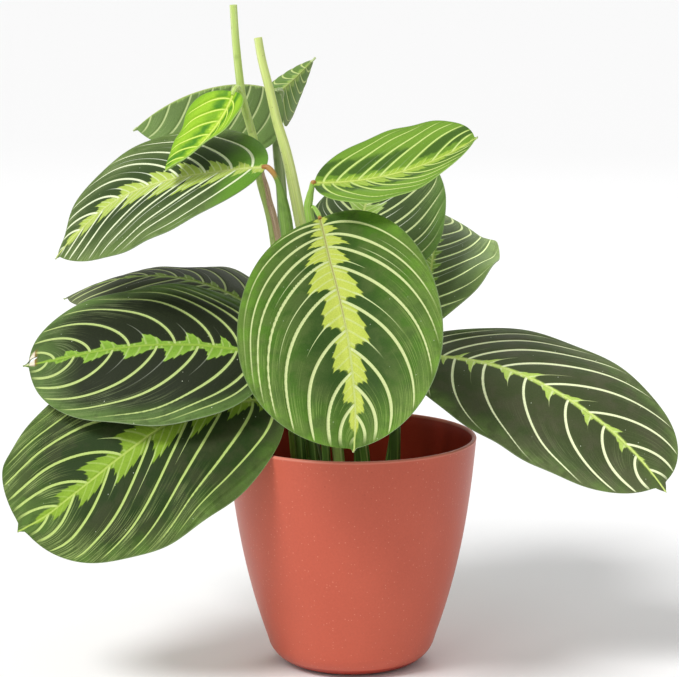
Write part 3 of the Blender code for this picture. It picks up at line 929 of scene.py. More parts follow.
def draw_feathers(finish, look, at, colour):
    """A faint glow, the feather itself, then the hair at its tip."""
    line, grow = feather_line(finish, look, at)
    glow = (line - at.reach).ramp(-0.9, -0.1) * 0.3
    colour = finish.blend(glow, colour, look["lime"])
    feather = (line - at.reach).ramp(-FEATHER_SOFT, FEATHER_SOFT)
    colour = finish.blend(feather, colour, leaf_lime(finish, look, at, line, grow))
    return finish.blend(tip_hairs(look, at, line) * look["hairs"], colour, look["hair"])


print("a feather is tallest", FEATHER_TIP, "of the way to the next vein")


# %% Side veins and midrib
# half widths in mm where a look says vein_mm=1 and rib_mm=1
VEIN_END, VEIN_MORE, HALO_MM = 0.18, 0.38, 1.3
RIB_START, RIB_TAPER = 0.85, -0.55


def draw_veins(finish, look, at, colour):
    """Thinner outwards and by the midrib, fading before the margin."""
    width = at.out.ramp(0.45, 1.0).flipped() * VEIN_MORE + VEIN_END
    width = (width - (at.reach * -0.3).math("EXPONENT") * 0.10) * look["vein_mm"]
    fade = at.out.ramp(0.86, 0.98).flipped() * at.along.ramp(0.93, 0.985).flipped()
    halo = at.near.ramp(width, width + HALO_MM).flipped() * fade
    colour = finish.blend(halo * look["halo"], colour, look["edge"])
    lines = at.near.ramp(width - VEIN_SOFT, width + VEIN_SOFT).flipped() * fade
    return finish.blend(lines * at.number.ramp(0.4, 0.6), colour, look["line"])


def draw_midrib(finish, look, at, colour):
    """Tapering, with a thin brown seam where a look names one."""
    width = (at.along * RIB_TAPER + RIB_START) * look["rib_mm"]
    spine = at.reach.ramp(width - 0.15, width + 0.25).flipped()
    colour = finish.blend(spine, colour, look["rib"])
    if "seam" in look:
        seam = at.reach.ramp(0.10, 0.40).flipped() * at.along.ramp(0.42, 0.62).flipped()
        colour = finish.blend(seam * 0.8, colour, look["seam"])
    return colour


print("midrib, half width at its ends:", RIB_START, round(RIB_START + RIB_TAPER, 2))


# %% [markdown]
# ## A torn tip
# The tip of the left leaf has dried and torn: brown tissue round a bleached
# edge.  The nick itself is in the mesh, where `notch` draws the tip back,
# because a missing corner has to show against what lies behind it.  Only its
# colours are drawn here.

# %% Dry colours round a tear
def torn_edge(finish, look, at, colour):
    """Dry bleached and brown tissue round a tear."""
    middle, width, depth = look["torn"]
    side = (at.across - middle).math("ABSOLUTE")
    side = side.ramp(width * 0.9, width * 1.5).flipped()
    close = at.along.ramp(1 - depth * 1.5, 1 - depth * 0.9) * side
    colour = finish.blend(close * 0.9, colour, tone(150, 92, 40))
    white = at.along.ramp(1 - depth * 1.15, 1 - depth) * side
    return finish.blend(white * 0.95, colour, tone(236, 226, 205))


print("torn edge ready")

# %% The whole upper face
LEAF_GLOSS = 0.06


def leaf_finish(name, look):
    finish = Finish(name, roughness=0.5, specular=LEAF_GLOSS)
    at = LeafMap(finish, look["seed"])
    colour = leaf_ground(finish, look, at)
    if "patch" in look:
        colour = dark_patches(finish, look, at, colour)
    colour = draw_feathers(finish, look, at, colour)
    colour = draw_veins(finish, look, at, colour)
    colour = draw_midrib(finish, look, at, colour)

    # margin line, specks, and fine mottling
    colour = finish.blend(at.out.ramp(0.984, 0.998) * 0.7, colour, look["lip"])
    specks = finish.dots(at.here, MOTTLE, edge=(0.05, 0.10), lots=(0.80, 0.86))
    colour = finish.blend(specks * look["specks"], colour, tone(225, 232, 205))
    grain = finish.cloud(at.here, GRAIN, 2)
    # look["light"] scales the whole leaf, partly painted light and shade for how much
    # light it gets
    colour = finish.shade(colour, (grain * 0.42 + 0.79) * look["light"])
    if "torn" in look:
        colour = torn_edge(finish, look, at, colour)

    # relief: veins and midrib lie in furrows, the skin is finely quilted
    quilt = finish.cloud(
        finish.vector(at.number * 9.0, at.along * 60.0, at.right * 3.0), 1.0, 1.0)
    height = (at.near.ramp(0.0, 1.6) + quilt * 0.35 + grain * 0.25
              + at.reach.ramp(0.0, 1.5))
    return finish.wear(colour, grain * 0.16 + 0.44, height, depth=0.0004)


print("upper face ready")

# %% [markdown]
# ## The underside
# Turned over, such a leaf is silvery and matt, and its veins stand up instead of
# lying in furrows.  A second colour on the same face would show through on the
# wrong side, so the underside gets a material of its own; it reads the same
# maps, which is why both faces have their veins in the same places.

# %% The paler underside
def underside_finish(name, colour):
    """Matt and silvery, with the veins standing up a little."""
    finish = Finish(name, roughness=0.6, specular=0.3)
    at = VeinMap(finish)
    veins = at.near.ramp(0.2, 0.9).flipped() * at.out.ramp(0.85, 0.97).flipped()
    spine = at.reach.ramp(0.4, 1.6).flipped()
    ground = finish.blend((veins * 0.6).most(spine), colour, tone(196, 212, 156))
    ground = finish.shade(ground, finish.cloud(at.here, STAIN, 3) * 0.25 + 0.88)
    strands = finish.cloud(finish.vector(at.number * 12.0, at.out * 2.0), 1.0, 1.0)
    height = veins * 1.2 + spine * 2.0 + strands * 0.4
    return finish.wear(ground, None, height, depth=0.00025)


print("underside ready")

# %% [markdown]
# ## Twelve looks
# Leaves change as they age.  The front blade is a fresh mid green, those on
# the right and left are almost black between the veins, the small ones at the
# top are new and bright.  Each entry only names its colours and sizes.

# %% What most leaves share
# light: brightness of the whole, partly painted light and shade that make up for
# how much light each leaf gets; tip: how far the margin's colour takes the tip;
# blotch, halo, specks, streaks, hairs: how strong each of these shows; hair_mm:
# about how long the hairs are; lip: the line along the margin
USUAL = dict(light=0.9, tip=0.6, blotch=0.35, halo=0.12, specks=0.5, streaks=0.5,
             hairs=0.7, hair_mm=20.0, hair=tone(232, 240, 214), lip=tone(124, 146, 96))
COLOURS = ("dark", "mid", "edge", "lime", "lime_edge", "line", "rib", "streak")


def aged(*colours, **more):
    """A look: eight screen colours, then whatever differs from the usual."""
    own = {name: tone(*colour) for name, colour in zip(COLOURS, colours)}
    return {**USUAL, **own, **more}


print("usual:", sorted(USUAL))

# %% Colours and sizes of each leaf
LOOKS = {
    "blade_front": aged(
        (58, 86, 36), (86, 128, 42), (114, 156, 56), (206, 219, 98), (196, 214, 86),
        (222, 234, 166), (206, 220, 130), (160, 184, 100),
        seed=1, light=0.76, seam=tone(170, 150, 100), hair=tone(222, 236, 170),
        stain=tone(104, 120, 66), stain_share=0.45, feather=(FULL, FULL),
        turn=(0.2, 0.85), feather_mm=(12.6, 14.0), band_mm=1.8, vein_mm=1.38,
        rib_mm=1.0, hairs=0.95),
    "blade_lower_left": aged(
        (44, 62, 28), (58, 80, 38), (92, 122, 54), (140, 174, 54), (128, 162, 48),
        (190, 212, 122), (180, 204, 96), (150, 170, 100),
        seed=2, stain=tone(74, 74, 52), stain_share=0.4, feather=(TOOTHED, TOOTHED),
        turn=(0.45, 1.15), feather_mm=(15.0, 15.0), band_mm=1.8, vein_mm=1.2,
        rib_mm=1.0, streaks=0.9, specks=0.8, hair=tone(198, 218, 140), hairs=0.75,
        hair_mm=9.0, tip=0.9),
    "blade_upper_left": aged(
        (60, 78, 42), (90, 110, 62), (108, 132, 70), (186, 206, 96), (170, 194, 84),
        (236, 244, 204), (206, 220, 130), (170, 182, 130),
        seed=3, root=tone(104, 150, 52), feather=(FULL, TOOTHED), turn=(0.2, 0.85),
        feather_mm=(15.0, 12.5), band_mm=3.2, vein_mm=1.15, rib_mm=1.3, specks=0.8),
    "blade_back_left": aged(
        (104, 128, 72), (116, 144, 80), (122, 152, 82), (140, 168, 90), (128, 158, 84),
        (186, 202, 140), (180, 198, 120), (150, 168, 110),
        seed=4, feather=(TOOTHED, TOOTHED), turn=(0.1, 0.9), hairs=0.1,
        feather_mm=(3.0, 3.0), band_mm=1.4, vein_mm=0.9, rib_mm=1.0, specks=0.3),
    "blade_behind": aged(
        (70, 86, 52), (86, 108, 60), (104, 138, 66), (140, 172, 76), (170, 196, 116),
        (210, 222, 160), (188, 206, 118), (150, 168, 108),
        seed=5, feather=(FULL, FULL), turn=(0.3, 1.0),
        feather_mm=(14.0, 14.0), band_mm=2.0, vein_mm=1.05, rib_mm=1.0),
    # light=1.5 is painted light on this leaf, which lies in the front leaf's shade
    "blade_far_right": aged(
        (80, 94, 60), (96, 114, 72), (124, 146, 86), (130, 164, 70), (124, 156, 64),
        (222, 234, 172), (176, 196, 104), (160, 176, 116),
        seed=6, light=1.5, lip=tone(150, 164, 130), feather=(STUB, WEDGE),
        turn=(0.2, 0.9), feather_mm=(6.0, 6.0), band_mm=1.6, vein_mm=1.1,
        rib_mm=0.9, hairs=0.3),
    "blade_young": aged(
        (132, 174, 42), (144, 184, 48), (122, 166, 42), (170, 200, 62), (156, 190, 52),
        (200, 216, 108), (196, 212, 100), (170, 196, 80),
        seed=7, light=1.15, patch=tone(64, 118, 36), patch_span=(3.0, 7.0),
        feather=(FULL, FULL), feather_mm=(3.0, 3.0), band_mm=1.2, vein_mm=0.7,
        rib_mm=0.7, hairs=0.0, specks=0.1, turn=(0.1, 0.9), blotch=0.0, halo=0.0,
        streaks=0.2),
    "blade_upper_right": aged(
        (112, 150, 50), (120, 160, 54), (112, 152, 50), (166, 194, 74), (150, 184, 60),
        (206, 226, 134), (200, 218, 110), (160, 190, 90),
        seed=8, patch=tone(66, 96, 38), patch_span=(5.0, 16.0), feather=(STUB, FULL),
        feather_mm=(5.0, 15.0), band_mm=3.0, vein_mm=1.1, rib_mm=1.0, hairs=0.1,
        specks=0.2, turn=(0.2, 0.9), blotch=0.0, halo=0.1, streaks=0.3),
    "blade_back_tip": aged(
        (104, 138, 60), (114, 148, 66), (120, 140, 72), (150, 180, 80), (134, 166, 70),
        (200, 216, 136), (190, 208, 110), (160, 180, 100),
        seed=9, lip=tone(130, 120, 84), feather=(FULL, FULL), turn=(0.2, 0.9),
        feather_mm=(5.0, 5.0), band_mm=1.8, vein_mm=0.9, rib_mm=0.9, hairs=0.1,
        specks=0.1, blotch=0.1, halo=0.1, streaks=0.3),
    "blade_right": aged(
        (68, 78, 48), (74, 90, 54), (104, 126, 70), (184, 208, 104), (170, 198, 90),
        (236, 243, 196), (204, 222, 124), (128, 140, 96),
        seed=10, light=1.06, stain=tone(86, 84, 66), stain_share=0.5,
        hair=tone(214, 224, 160), feather=(SPUR, SPUR), turn=(0.4, 1.1), tip=0.4,
        blotch=0.5, feather_mm=(7.0, 11.0), band_mm=1.5, vein_mm=1.3, rib_mm=1.1,
        hairs=0.5, hair_mm=7.0, streaks=0.35, specks=0.8),
    "blade_left": aged(
        (42, 48, 32), (54, 66, 42), (102, 130, 68), (124, 164, 54), (146, 186, 72),
        (192, 210, 132), (150, 184, 70), (146, 160, 110),
        seed=11, lip=tone(150, 166, 130), feather=(STUB, WEDGE), turn=(0.5, 1.05),
        feather_mm=(9.4, 9.0), band_mm=1.9, vein_mm=1.25, rib_mm=1.1, hairs=0.2,
        hair_mm=12.0, specks=0.9, tip=0.9, torn=(0.20, 0.22, 0.045)),
    "blade_back_low": aged(
        (72, 78, 58), (88, 96, 70), (114, 126, 86), (136, 162, 76), (124, 152, 66),
        (196, 208, 146), (160, 182, 92), (146, 154, 116),
        seed=12, lip=tone(140, 132, 110), feather=(SPUR, WEDGE), turn=(0.4, 1.0),
        feather_mm=(6.0, 6.0), band_mm=1.4, vein_mm=1.0, rib_mm=0.8, hairs=0.2),
}
print("looks:", len(LOOKS))

# %% Undersides
UNDERSIDES = {"leaf_green": tone(140, 168, 112), "leaf_grey": tone(138, 158, 118),
              "leaf_young": tone(160, 196, 96), "leaf_dark": tone(132, 146, 118)}
BLADE_SLOT = {
    "blade_front": "leaf_green", "blade_lower_left": "leaf_green",
    "blade_upper_left": "leaf_grey", "blade_back_left": "leaf_grey",
    "blade_behind": "leaf_grey", "blade_far_right": "leaf_grey",
    "blade_young": "leaf_young", "blade_upper_right": "leaf_young",
    "blade_back_tip": "leaf_young", "blade_right": "leaf_dark",
    "blade_left": "leaf_dark", "blade_back_low": "leaf_dark",
}
under = {slot: underside_finish("underside_" + slot[5:], colour)
         for slot, colour in UNDERSIDES.items()}
print("undersides:", len(under))


# %% Make, colour and place all twelve blades
def settle(piece, node):
    """The new piece rides on the plant and stands for its plain node."""
    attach(piece, "root")
    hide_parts(node)


# the tear itself: middle and width across the blade, and depth along it
TEAR = {"blade_left": (0.20, 0.18, 0.065)}
faces = 0
for name in BLADES:
    leaf = make_blade(name, TEAR.get(name))
    leaf.data.materials.append(leaf_finish("face_" + name[6:], LOOKS[name]))
    leaf.data.materials.append(under[BLADE_SLOT[name]])
    thicken(leaf)
    settle(leaf, name)
    faces += len(leaf.data.polygons)
print("blades done, faces:", faces)

# %% [markdown]
# ## Stems
# A stem is a round tube that follows a smooth line through a few points.  The
# tube starts as a flat grid that is rolled up, because a grid brings a UV map
# with it: one number runs round the stem and one along it, which is what the
# pale stripes and the brown joint below some blades are drawn with.  A joint is
# a few millimetres long and slightly thicker; on the real plant the leaf turns
# there.

# %% Lines of the stems
# to: the blade that a stem ends at, and None for a cut stalk; path: x, y, z and
# radius in mm, from the soil up; run_in: see RUN_IN below
STEMS = {
    "stem_front": dict(to="blade_upper_right", path=[
        (9, -8, 92, 2.6), (4, -9, 130, 2.6), (-8, -12, 185, 2.6),
        (-17.5, -16.5, 220, 2.5), (-21.9, -19, 240, 2.3),
        (-21.4, -20.1, 247.2, 1.9), (-20.5, -21.2, 251.3, 1.2)], run_in=1.7),
    "stem_upper_left": dict(to="blade_upper_left", path=[
        (-18, -11, 92, 2.6), (-24, -13, 150, 2.9), (-30, -17, 200, 3.4),
        (-32.8, -19, 229, 3.4), (-34.4, -21, 242, 2.9),
        (-36.3, -23.5, 252.5, 1.8), (-38.8, -25, 259, 1.2)]),
    "stem_stalk_left": dict(to=None, path=[
        (-28, 1, 92, 2.4), (-33, 6, 150, 2.6), (-40, 12, 222, 2.6),
        (-47, 17, 251, 2.4), (-50.6, 19, 272, 2.2), (-55.4, 18, 290, 2.1),
        (-57.2, 17, 300, 2.1), (-59.4, 16, 322, 2.0), (-60.6, 15, 342, 1.9)]),
    "stem_stalk_right": dict(to=None, path=[
        (-5, 3, 92, 3.0), (-13, 5, 160, 3.2), (-26.4, 8, 231, 3.1),
        (-33.1, 9, 264, 2.8), (-38.5, 10, 283, 2.5), (-42, 11, 298, 2.3),
        (-46, 12, 314, 2.2), (-48, 12, 325.5, 2.1)]),
    "stem_back_left": dict(to="blade_back_left", path=[
        (-15, 16, 92, 2.4), (-27, 25, 150, 2.4), (-35, 38, 200, 2.4),
        (-37, 52, 239.5, 2.8), (-39.5, 62, 265, 2.6), (-39.8, 71.5, 278.6, 2.1),
        (-38.2, 76.8, 287.5, 1.5)]),
    "stem_left": dict(to="blade_left", path=[
        (-12, -21, 92, 2.2), (-15, -27, 140, 2.2), (-22, -31, 163, 2.0),
        (-30, -31.5, 170, 1.7)]),
    "stem_lower_left": dict(to="blade_lower_left", path=[
        (-26, -19, 92, 2.3), (-27, -19.5, 120, 2.3), (-29, -20.5, 136, 1.9),
        (-31.5, -21.6, 143.6, 1.6)]),
    "stem_back_low": dict(to="blade_back_low", path=[
        (-23, 17, 92, 2.2), (-28, 20, 130, 2.2), (-37, 21, 158, 2.0),
        (-42, 21.8, 172, 1.7)]),
    "stem_right": dict(to="blade_right", path=[
        (22, -6, 92, 3.2), (22.3, -6, 130, 2.9), (20, -7, 152, 2.3),
        (20.5, -7.4, 161, 1.7)]),
    "stem_behind": dict(to="blade_behind", path=[
        (4, 8, 92, 2.3), (2, 5, 150, 2.3), (-1.5, 4, 182, 2.0),
        (-1.2, 6.5, 193, 1.7)]),
    "stem_far_right": dict(to="blade_far_right", path=[
        (18, 12, 92, 2.3), (25, 16, 130, 2.2), (34, 20, 157, 1.9),
        (36.4, 23.2, 166.5, 1.7)]),
}
print("stems:", len(STEMS))

# %% Branches of stems that carry two blades
BRANCHES = {
    "stem_front": dict(to="blade_front", path=[
        (-21.6, -19.3, 240.5, 1.2), (-19.4, -20.8, 242.4, 1.0)]),
    "stem_stalk_left": dict(to="blade_young", path=[
        (-51.5, 19, 275, 1.5), (-54.5, 12, 289, 1.5), (-57.3, 2, 300, 1.2)]),
    "stem_back_left": dict(to="blade_back_tip", path=[
        (-39.8, 71, 277.6, 1.5), (-38.6, 74, 286.6, 1.4)]),
}
print("branches:", len(BRANCHES))


# %% A smooth line
def smooth_line(points, per_span):
    """A curve that passes through every point."""
    pts = [np.array(p, float) for p in points]
    pts = [2 * pts[0] - pts[1]] + pts + [2 * pts[-1] - pts[-2]]
    line = []
    for a, b, c, d in zip(pts, pts[1:], pts[2:], pts[3:]):
        for s in np.arange(per_span) / per_span:
            line.append(0.5 * (2 * b + (c - a) * s
                               + (2 * a - 5 * b + 4 * c - d) * s ** 2
                               + (3 * b - a - 3 * c + d) * s ** 3))
    return np.array(line + [pts[-2]])


print("points of a smooth line:", len(smooth_line([(0, 0), (1, 0), (1, 1)], 4)))

# %% From the soil to the blade
STEM_STEPS = 7                  # points on each span
ROOT_HEIGHTS = (78, 84, 89)     # mm, three more points down in the soil
RUN_IN, BLADE_GAP = 3.5, 0.3    # mm, the last two points before the blade
JOINT_RISE, JOINT_PLACE, JOINT_SPREAD = 0.30, 5.0, 3.2     # mm
END_THIN, END_LENGTH = 0.25, 0.8                           # mm


def stem_line(spec, rooted):
    """Points and radii, straight into the blade's base at the end."""
    points, root = list(spec["path"]), []
    if rooted:
        x, y, _, radius = points[0]
        root = [(x, y, z, radius) for z in ROOT_HEIGHTS]
    if spec["to"]:
        target = BLADES[spec["to"]]
        ahead = midrib(target)[2][0]
        base = np.array(target["base"], float)
        points += [(*(base - ahead * back), points[-1][3])
                   for back in (spec.get("run_in", RUN_IN), BLADE_GAP)]
    return np.vstack([np.array(root).reshape(-1, 4),
                      smooth_line(points, STEM_STEPS)])


def swollen(line, to):
    """Thicken the joint under the blade; also give the length run and left."""
    run = np.concatenate([[0], np.cumsum(
        np.linalg.norm(np.diff(line[:, :3], axis=0), axis=1))])
    left = run[-1] - run
    if to:
        line[:, 3] += JOINT_RISE * np.exp(-((left - JOINT_PLACE) / JOINT_SPREAD) ** 2)
        line[:, 3] -= END_THIN * np.exp(-left / END_LENGTH)
    return line, run, left


line, run, _ = swollen(stem_line(STEMS["stem_front"], True), True)
print("front stem:", len(line), "rings,", run[-1].round(1), "mm")

# %% A grid rolled round the line
RIBS, RIB_RISE, RIB_TWIST = 5, 0.035, 0.05
STEM_SIDES, TWIG_SIDES = 20, 16
DECIMETRE = 100         # mm; the tube's maps count in these, to stay near 1


def directions(line):
    """Directions along the line and, without twist, across it."""
    ahead = np.gradient(line[:, :3], axis=0)
    ahead /= np.linalg.norm(ahead, axis=1)[:, None]
    side = np.zeros_like(ahead)
    side[0] = np.cross(ahead[0], (0.3, 1, 0.1))
    for i in range(len(line)):
        last = side[max(i - 1, 0)]
        side[i] = last - ahead[i] * last.dot(ahead[i])
        side[i] /= np.linalg.norm(side[i])
    return side, np.cross(ahead, side)


def roll_tube(name, line, run, left, sides):
    """Roll a grid into a tube, faintly ribbed, and close its ends."""
    tube = add_grid(name, sides, len(line) - 1)
    mesh = tube.data
    flat = read(mesh.vertices, "co", 3)
    turn = (flat[:, 0] + 0.5) * 2 * np.pi
    row = np.rint((flat[:, 1] + 0.5) * (len(line) - 1)).astype(int)
    side, other = directions(line)
    radius = line[row, 3] * (1 + RIB_RISE * np.cos(turn * RIBS + row * RIB_TWIST))
    places = (line[row, :3] + side[row] * (np.cos(turn) * radius)[:, None]
              + other[row] * (np.sin(turn) * radius)[:, None])
    mesh.vertices.foreach_set("co", (places * MM).ravel())

    corner = read(mesh.loops, "vertex_index", kind=int)
    store_corners(mesh, "round", (turn / (2 * np.pi))[corner],
                  (run / DECIMETRE)[row][corner])
    store_corners(mesh, "ends", (left / DECIMETRE)[row][corner],
                  (line[row, 2] / DECIMETRE)[corner])
    mesh.update()
    bpy.ops.object.mode_set(mode="EDIT")
    merge_doubles(1e-6)
    bpy.ops.mesh.fill_holes(sides=0)
    bpy.ops.mesh.normals_make_consistent(inside=False)
    bpy.ops.object.mode_set(mode="OBJECT")
    bpy.ops.object.shade_smooth_by_angle(angle=math.radians(40))
    return tube


print("sides of a stem and of a branch:", STEM_SIDES, TWIG_SIDES)


# %% [markdown]
# ## The skin of the stems
# A stem is fleshy: light goes a little way in, so it gets some subsurface
# scattering.  It is darker towards the soil, a painted shade where the stems run
# under the leaves, paler towards the top, and has fine stripes along it.  Those
# are stretched noise on the tube's own map, because a noise in space would cut
# across a bent stem.

# %% Finish of the stems
STRIPES, FINE_STRIPES = 9.0, 34.0       # round the stem


def stem_finish(name, low, high, joint_mm, stripe):
    """Fleshy and striped: a darker low colour at the soil, painted shade under the
    leaves, and a high colour at the top.
    """
    finish = Finish(name, roughness=0.42, specular=0.25)
    finish.bsdf.inputs["Subsurface Weight"].default_value = 0.12
    finish.bsdf.inputs["Subsurface Radius"].default_value = (0.5, 0.9, 0.2)
    finish.bsdf.inputs["Subsurface Scale"].default_value = 0.002
    turn, run = finish.uv("round")
    left, height = finish.uv("ends")
    here = finish.vector(*finish.place())
    # the darker low colour near the soil is painted shade under the leaves
    body = finish.blend(height.ramp(1.2, 2.4), low, high)
    stripes = finish.cloud(finish.vector(turn * STRIPES, run * 1.2), 1.0, 2.0)
    body = finish.blend(stripes.ramp(0.46, 0.66) * 0.7, body, stripe)
    fine = finish.cloud(finish.vector(turn * FINE_STRIPES, run * 4.0), 1.0, 1.0)
    body = finish.shade(body, fine * 0.5 + 0.76)
    cloud = finish.cloud(here, 160, 2)
    body = finish.blend(cloud.ramp(0.55, 0.8) * 0.4, body, low)
    if joint_mm:    # the brown joint, darker at its tip
        edge = left * DECIMETRE + (cloud - 0.5) * 4.0
        joint = edge.ramp(joint_mm * 0.7, joint_mm * 1.2).flipped()
        body = finish.blend(joint, body, tone(176, 134, 74))
        tip = edge.ramp(0.5, joint_mm * 0.5).flipped()
        body = finish.blend(tip * 0.8, body, tone(160, 104, 58))
    specks = finish.dots(here, 420, edge=(0.06, 0.14), lots=(0.7, 0.8))
    body = finish.blend(specks * 0.5, body, tone(70, 60, 34))
    return finish.wear(body, fine * 0.2 + 0.3, stripes + fine * 0.5, depth=0.00025)


# low colour (painted shade near the soil), high colour, length of the joint (mm), stripes
STEM_TONES = {
    "green": ((72, 104, 42), (110, 148, 62), 0.0, (150, 180, 96)),
    "jointed": ((72, 104, 42), (112, 146, 62), 9.0, (150, 180, 96)),
    "fresh": ((92, 132, 50), (140, 180, 72), 2.0, (194, 212, 134)),
    "back": ((78, 100, 52), (140, 160, 104), 0.0, (190, 198, 156)),
    "pale": ((162, 190, 100), (204, 218, 130), 0.0, (222, 230, 168)),
    "stalk": ((122, 152, 70), (186, 208, 116), 0.0, (210, 224, 154)),
}
STEM_FINISH = {
    kind: stem_finish("stem_skin_" + kind, tone(*low), tone(*high), joint_mm,
                      tone(*stripe))
    for kind, (low, high, joint_mm, stripe) in STEM_TONES.items()}
STEM_LOOK = {"stem_back_left": "back", "stem_stalk_right": "pale",
             "stem_stalk_left": "stalk", "stem_upper_left": "jointed",
             "stem_front": "fresh"}
print("stem finishes:", list(STEM_FINISH))


# %% Make the stems
def join_into(piece, other):
    """Make another mesh a part of this piece."""
    deselect()
    other.select_set(True)
    piece.select_set(True)
    bpy.context.view_layer.objects.active = piece
    bpy.ops.object.join()


def make_stem(name, spec, rooted, sides, look):
    stem = roll_tube(name, *swollen(stem_line(spec, rooted), spec["to"]), sides)
    stem.data.materials.append(look)
    return stem


for name, spec in STEMS.items():
    look = STEM_FINISH[STEM_LOOK.get(name, "green")]
    stem = make_stem(name + "_skin", spec, True, STEM_SIDES, look)
    if name in BRANCHES:
        join_into(stem, make_stem("twig", BRANCHES[name], False, TWIG_SIDES, look))
    settle(stem, name)
print("stems made:", len(STEMS), "with", len(BRANCHES), "branches")

# %% [markdown]
# ## Pot
# The pot is moulded in one piece: a thin wall that leans out, a rounded foot
# and a soft rim.  Its profile could be spun round the axis; here a ring of edges
# is drawn upwards step by step instead, widened at each step to follow the wall,
# turned over the rim and led down again inside, because every ring then gets
# exactly the radius that the packed pot has at its height.

# %% The pot's sizes, in mm
POT_H, POT_R_RIM, POT_R_FOOT = 120.3, 65.0, 38.7
POT_BULGE, POT_BULGE_POWER = 0.588, 2.5     # how the wall rounds in, downwards
POT_WALL, POT_FLOOR, FOOT_ROUND = 2.4, 3.0, 17.4


def wall_radius(z):
    t = 1 - z / POT_H
    even = (1 - POT_BULGE) * t + POT_BULGE * t ** POT_BULGE_POWER
    return POT_R_RIM - (POT_R_RIM - POT_R_FOOT) * even


def foot_arc(inset, steps):
    """The rounded corner between floor and wall."""
    slope = (POT_R_RIM - POT_R_FOOT) / POT_H
    lean = math.atan(slope * (1 - POT_BULGE + POT_BULGE * POT_BULGE_POWER))
    middle = POT_R_FOOT - FOOT_ROUND / math.tan(math.radians(45) + lean / 2)
    r = FOOT_ROUND - inset
    return [(middle + r * math.cos(a), FOOT_ROUND + r * math.sin(a))
            for a in np.linspace(-math.pi / 2, -lean, steps)]


WALL_START = foot_arc(0, 2)[-1][1]
print("the wall starts", round(WALL_START, 1), "mm up")


# %% Drawing rings upwards
def draw_rings(name, rings, sides):
    """Extrude a circle through (radius, height) rings and close both ends."""
    deselect()
    radius, z = rings[0]
    bpy.ops.mesh.primitive_circle_add(
        vertices=sides, radius=radius * MM, location=(0, 0, z * MM))
    piece = bpy.context.object
    piece.name = piece.data.name = name
    bpy.ops.object.mode_set(mode="EDIT")
    bpy.ops.mesh.select_all(action="SELECT")
    bpy.ops.mesh.edge_face_add()
    bpy.ops.mesh.select_all(action="SELECT")
    bpy.ops.mesh.duplicate()
    bpy.ops.mesh.delete(type="ONLY_FACE")
    bpy.ops.mesh.select_non_manifold()
    for next_radius, next_z in rings[1:]:
        bpy.ops.mesh.extrude_region_move(TRANSFORM_OT_translate={
            "value": (0, 0, (next_z - z) * MM)})
        bpy.ops.transform.resize(
            value=(next_radius / radius, next_radius / radius, 1))
        radius, z = next_radius, next_z
    bpy.ops.mesh.edge_face_add()
    merge_doubles(1e-6)
    bpy.ops.mesh.normals_make_consistent(inside=False)
    bpy.ops.object.mode_set(mode="OBJECT")
    bpy.ops.object.transform_apply(location=True, rotation=True, scale=True)
    return piece


print("ring drawing ready")

# %% The wall, ring by ring
POT_SIDES = 160
RIM_RISE, RIM_HALF, RIM_SKIP = 1.1, 1.2, 0.25   # mm, mm, and radians at each end
RIM_INSIDE = 1.3        # mm below the rim, where the inner wall starts
INNER_FLOOR = 20        # mm, radius of the flat middle of the floor


def pot_rings():
    outside = foot_arc(0, 14) + [(wall_radius(z), z) for z in
                                 np.linspace(WALL_START, POT_H - RIM_RISE, 26)[1:]]
    rim = [(POT_R_RIM - POT_WALL / 2 + RIM_HALF * math.cos(a),
            POT_H - RIM_RISE + RIM_RISE * math.sin(a))
           for a in np.linspace(RIM_SKIP, math.pi - RIM_SKIP, 9)]
    inside = [(wall_radius(z) - POT_WALL, z)
              for z in np.linspace(POT_H - RIM_INSIDE, WALL_START + 2, 22)]
    inside += [(r, z) for r, z in reversed(foot_arc(POT_WALL, 9))
               if z > POT_FLOOR + 0.2]
    return outside + rim + inside + [(INNER_FLOOR, POT_FLOOR)]


pot = draw_rings("pot_shell", pot_rings(), POT_SIDES)
bpy.ops.object.shade_smooth_by_angle(angle=math.radians(35))
print("pot faces:", len(pot.data.polygons))


# %% [markdown]
# ## The pot's plastic
# The plastic is satin, slightly cloudy, and holds tiny pale flecks.  Inside, the
# wall lies in shade, and light alone leaves it too pale, so its colour there is
# deepened to a deep red painted shade, by how far a place lies behind the outer
# skin: the wall's own formula says where that skin is, so no second piece is
# needed.  A pale band along the top of the rim is a painted highlight.

# %% Flecked satin plastic
# where the painted shade inside the pot starts and where it is full
INNER_SHADE_FROM, INNER_SHADE_TO = 0.0014, 0.0022   # metres behind the outer skin
# where the painted highlight along the top of the rim lies
RIM_HIGHLIGHT_FROM, RIM_HIGHLIGHT_TO = 0.1186, 0.1196       # metres above the floor


def skin_depth(x, y, z):
    """How far a place lies behind the outer skin, in metres."""
    t = z * (-1 / (POT_H * MM)) + 1.0
    even = t * (1 - POT_BULGE) + t ** POT_BULGE_POWER * POT_BULGE
    wall = (even * (POT_R_FOOT - POT_R_RIM) + POT_R_RIM) * MM
    return wall - (x * x + y * y) ** 0.5


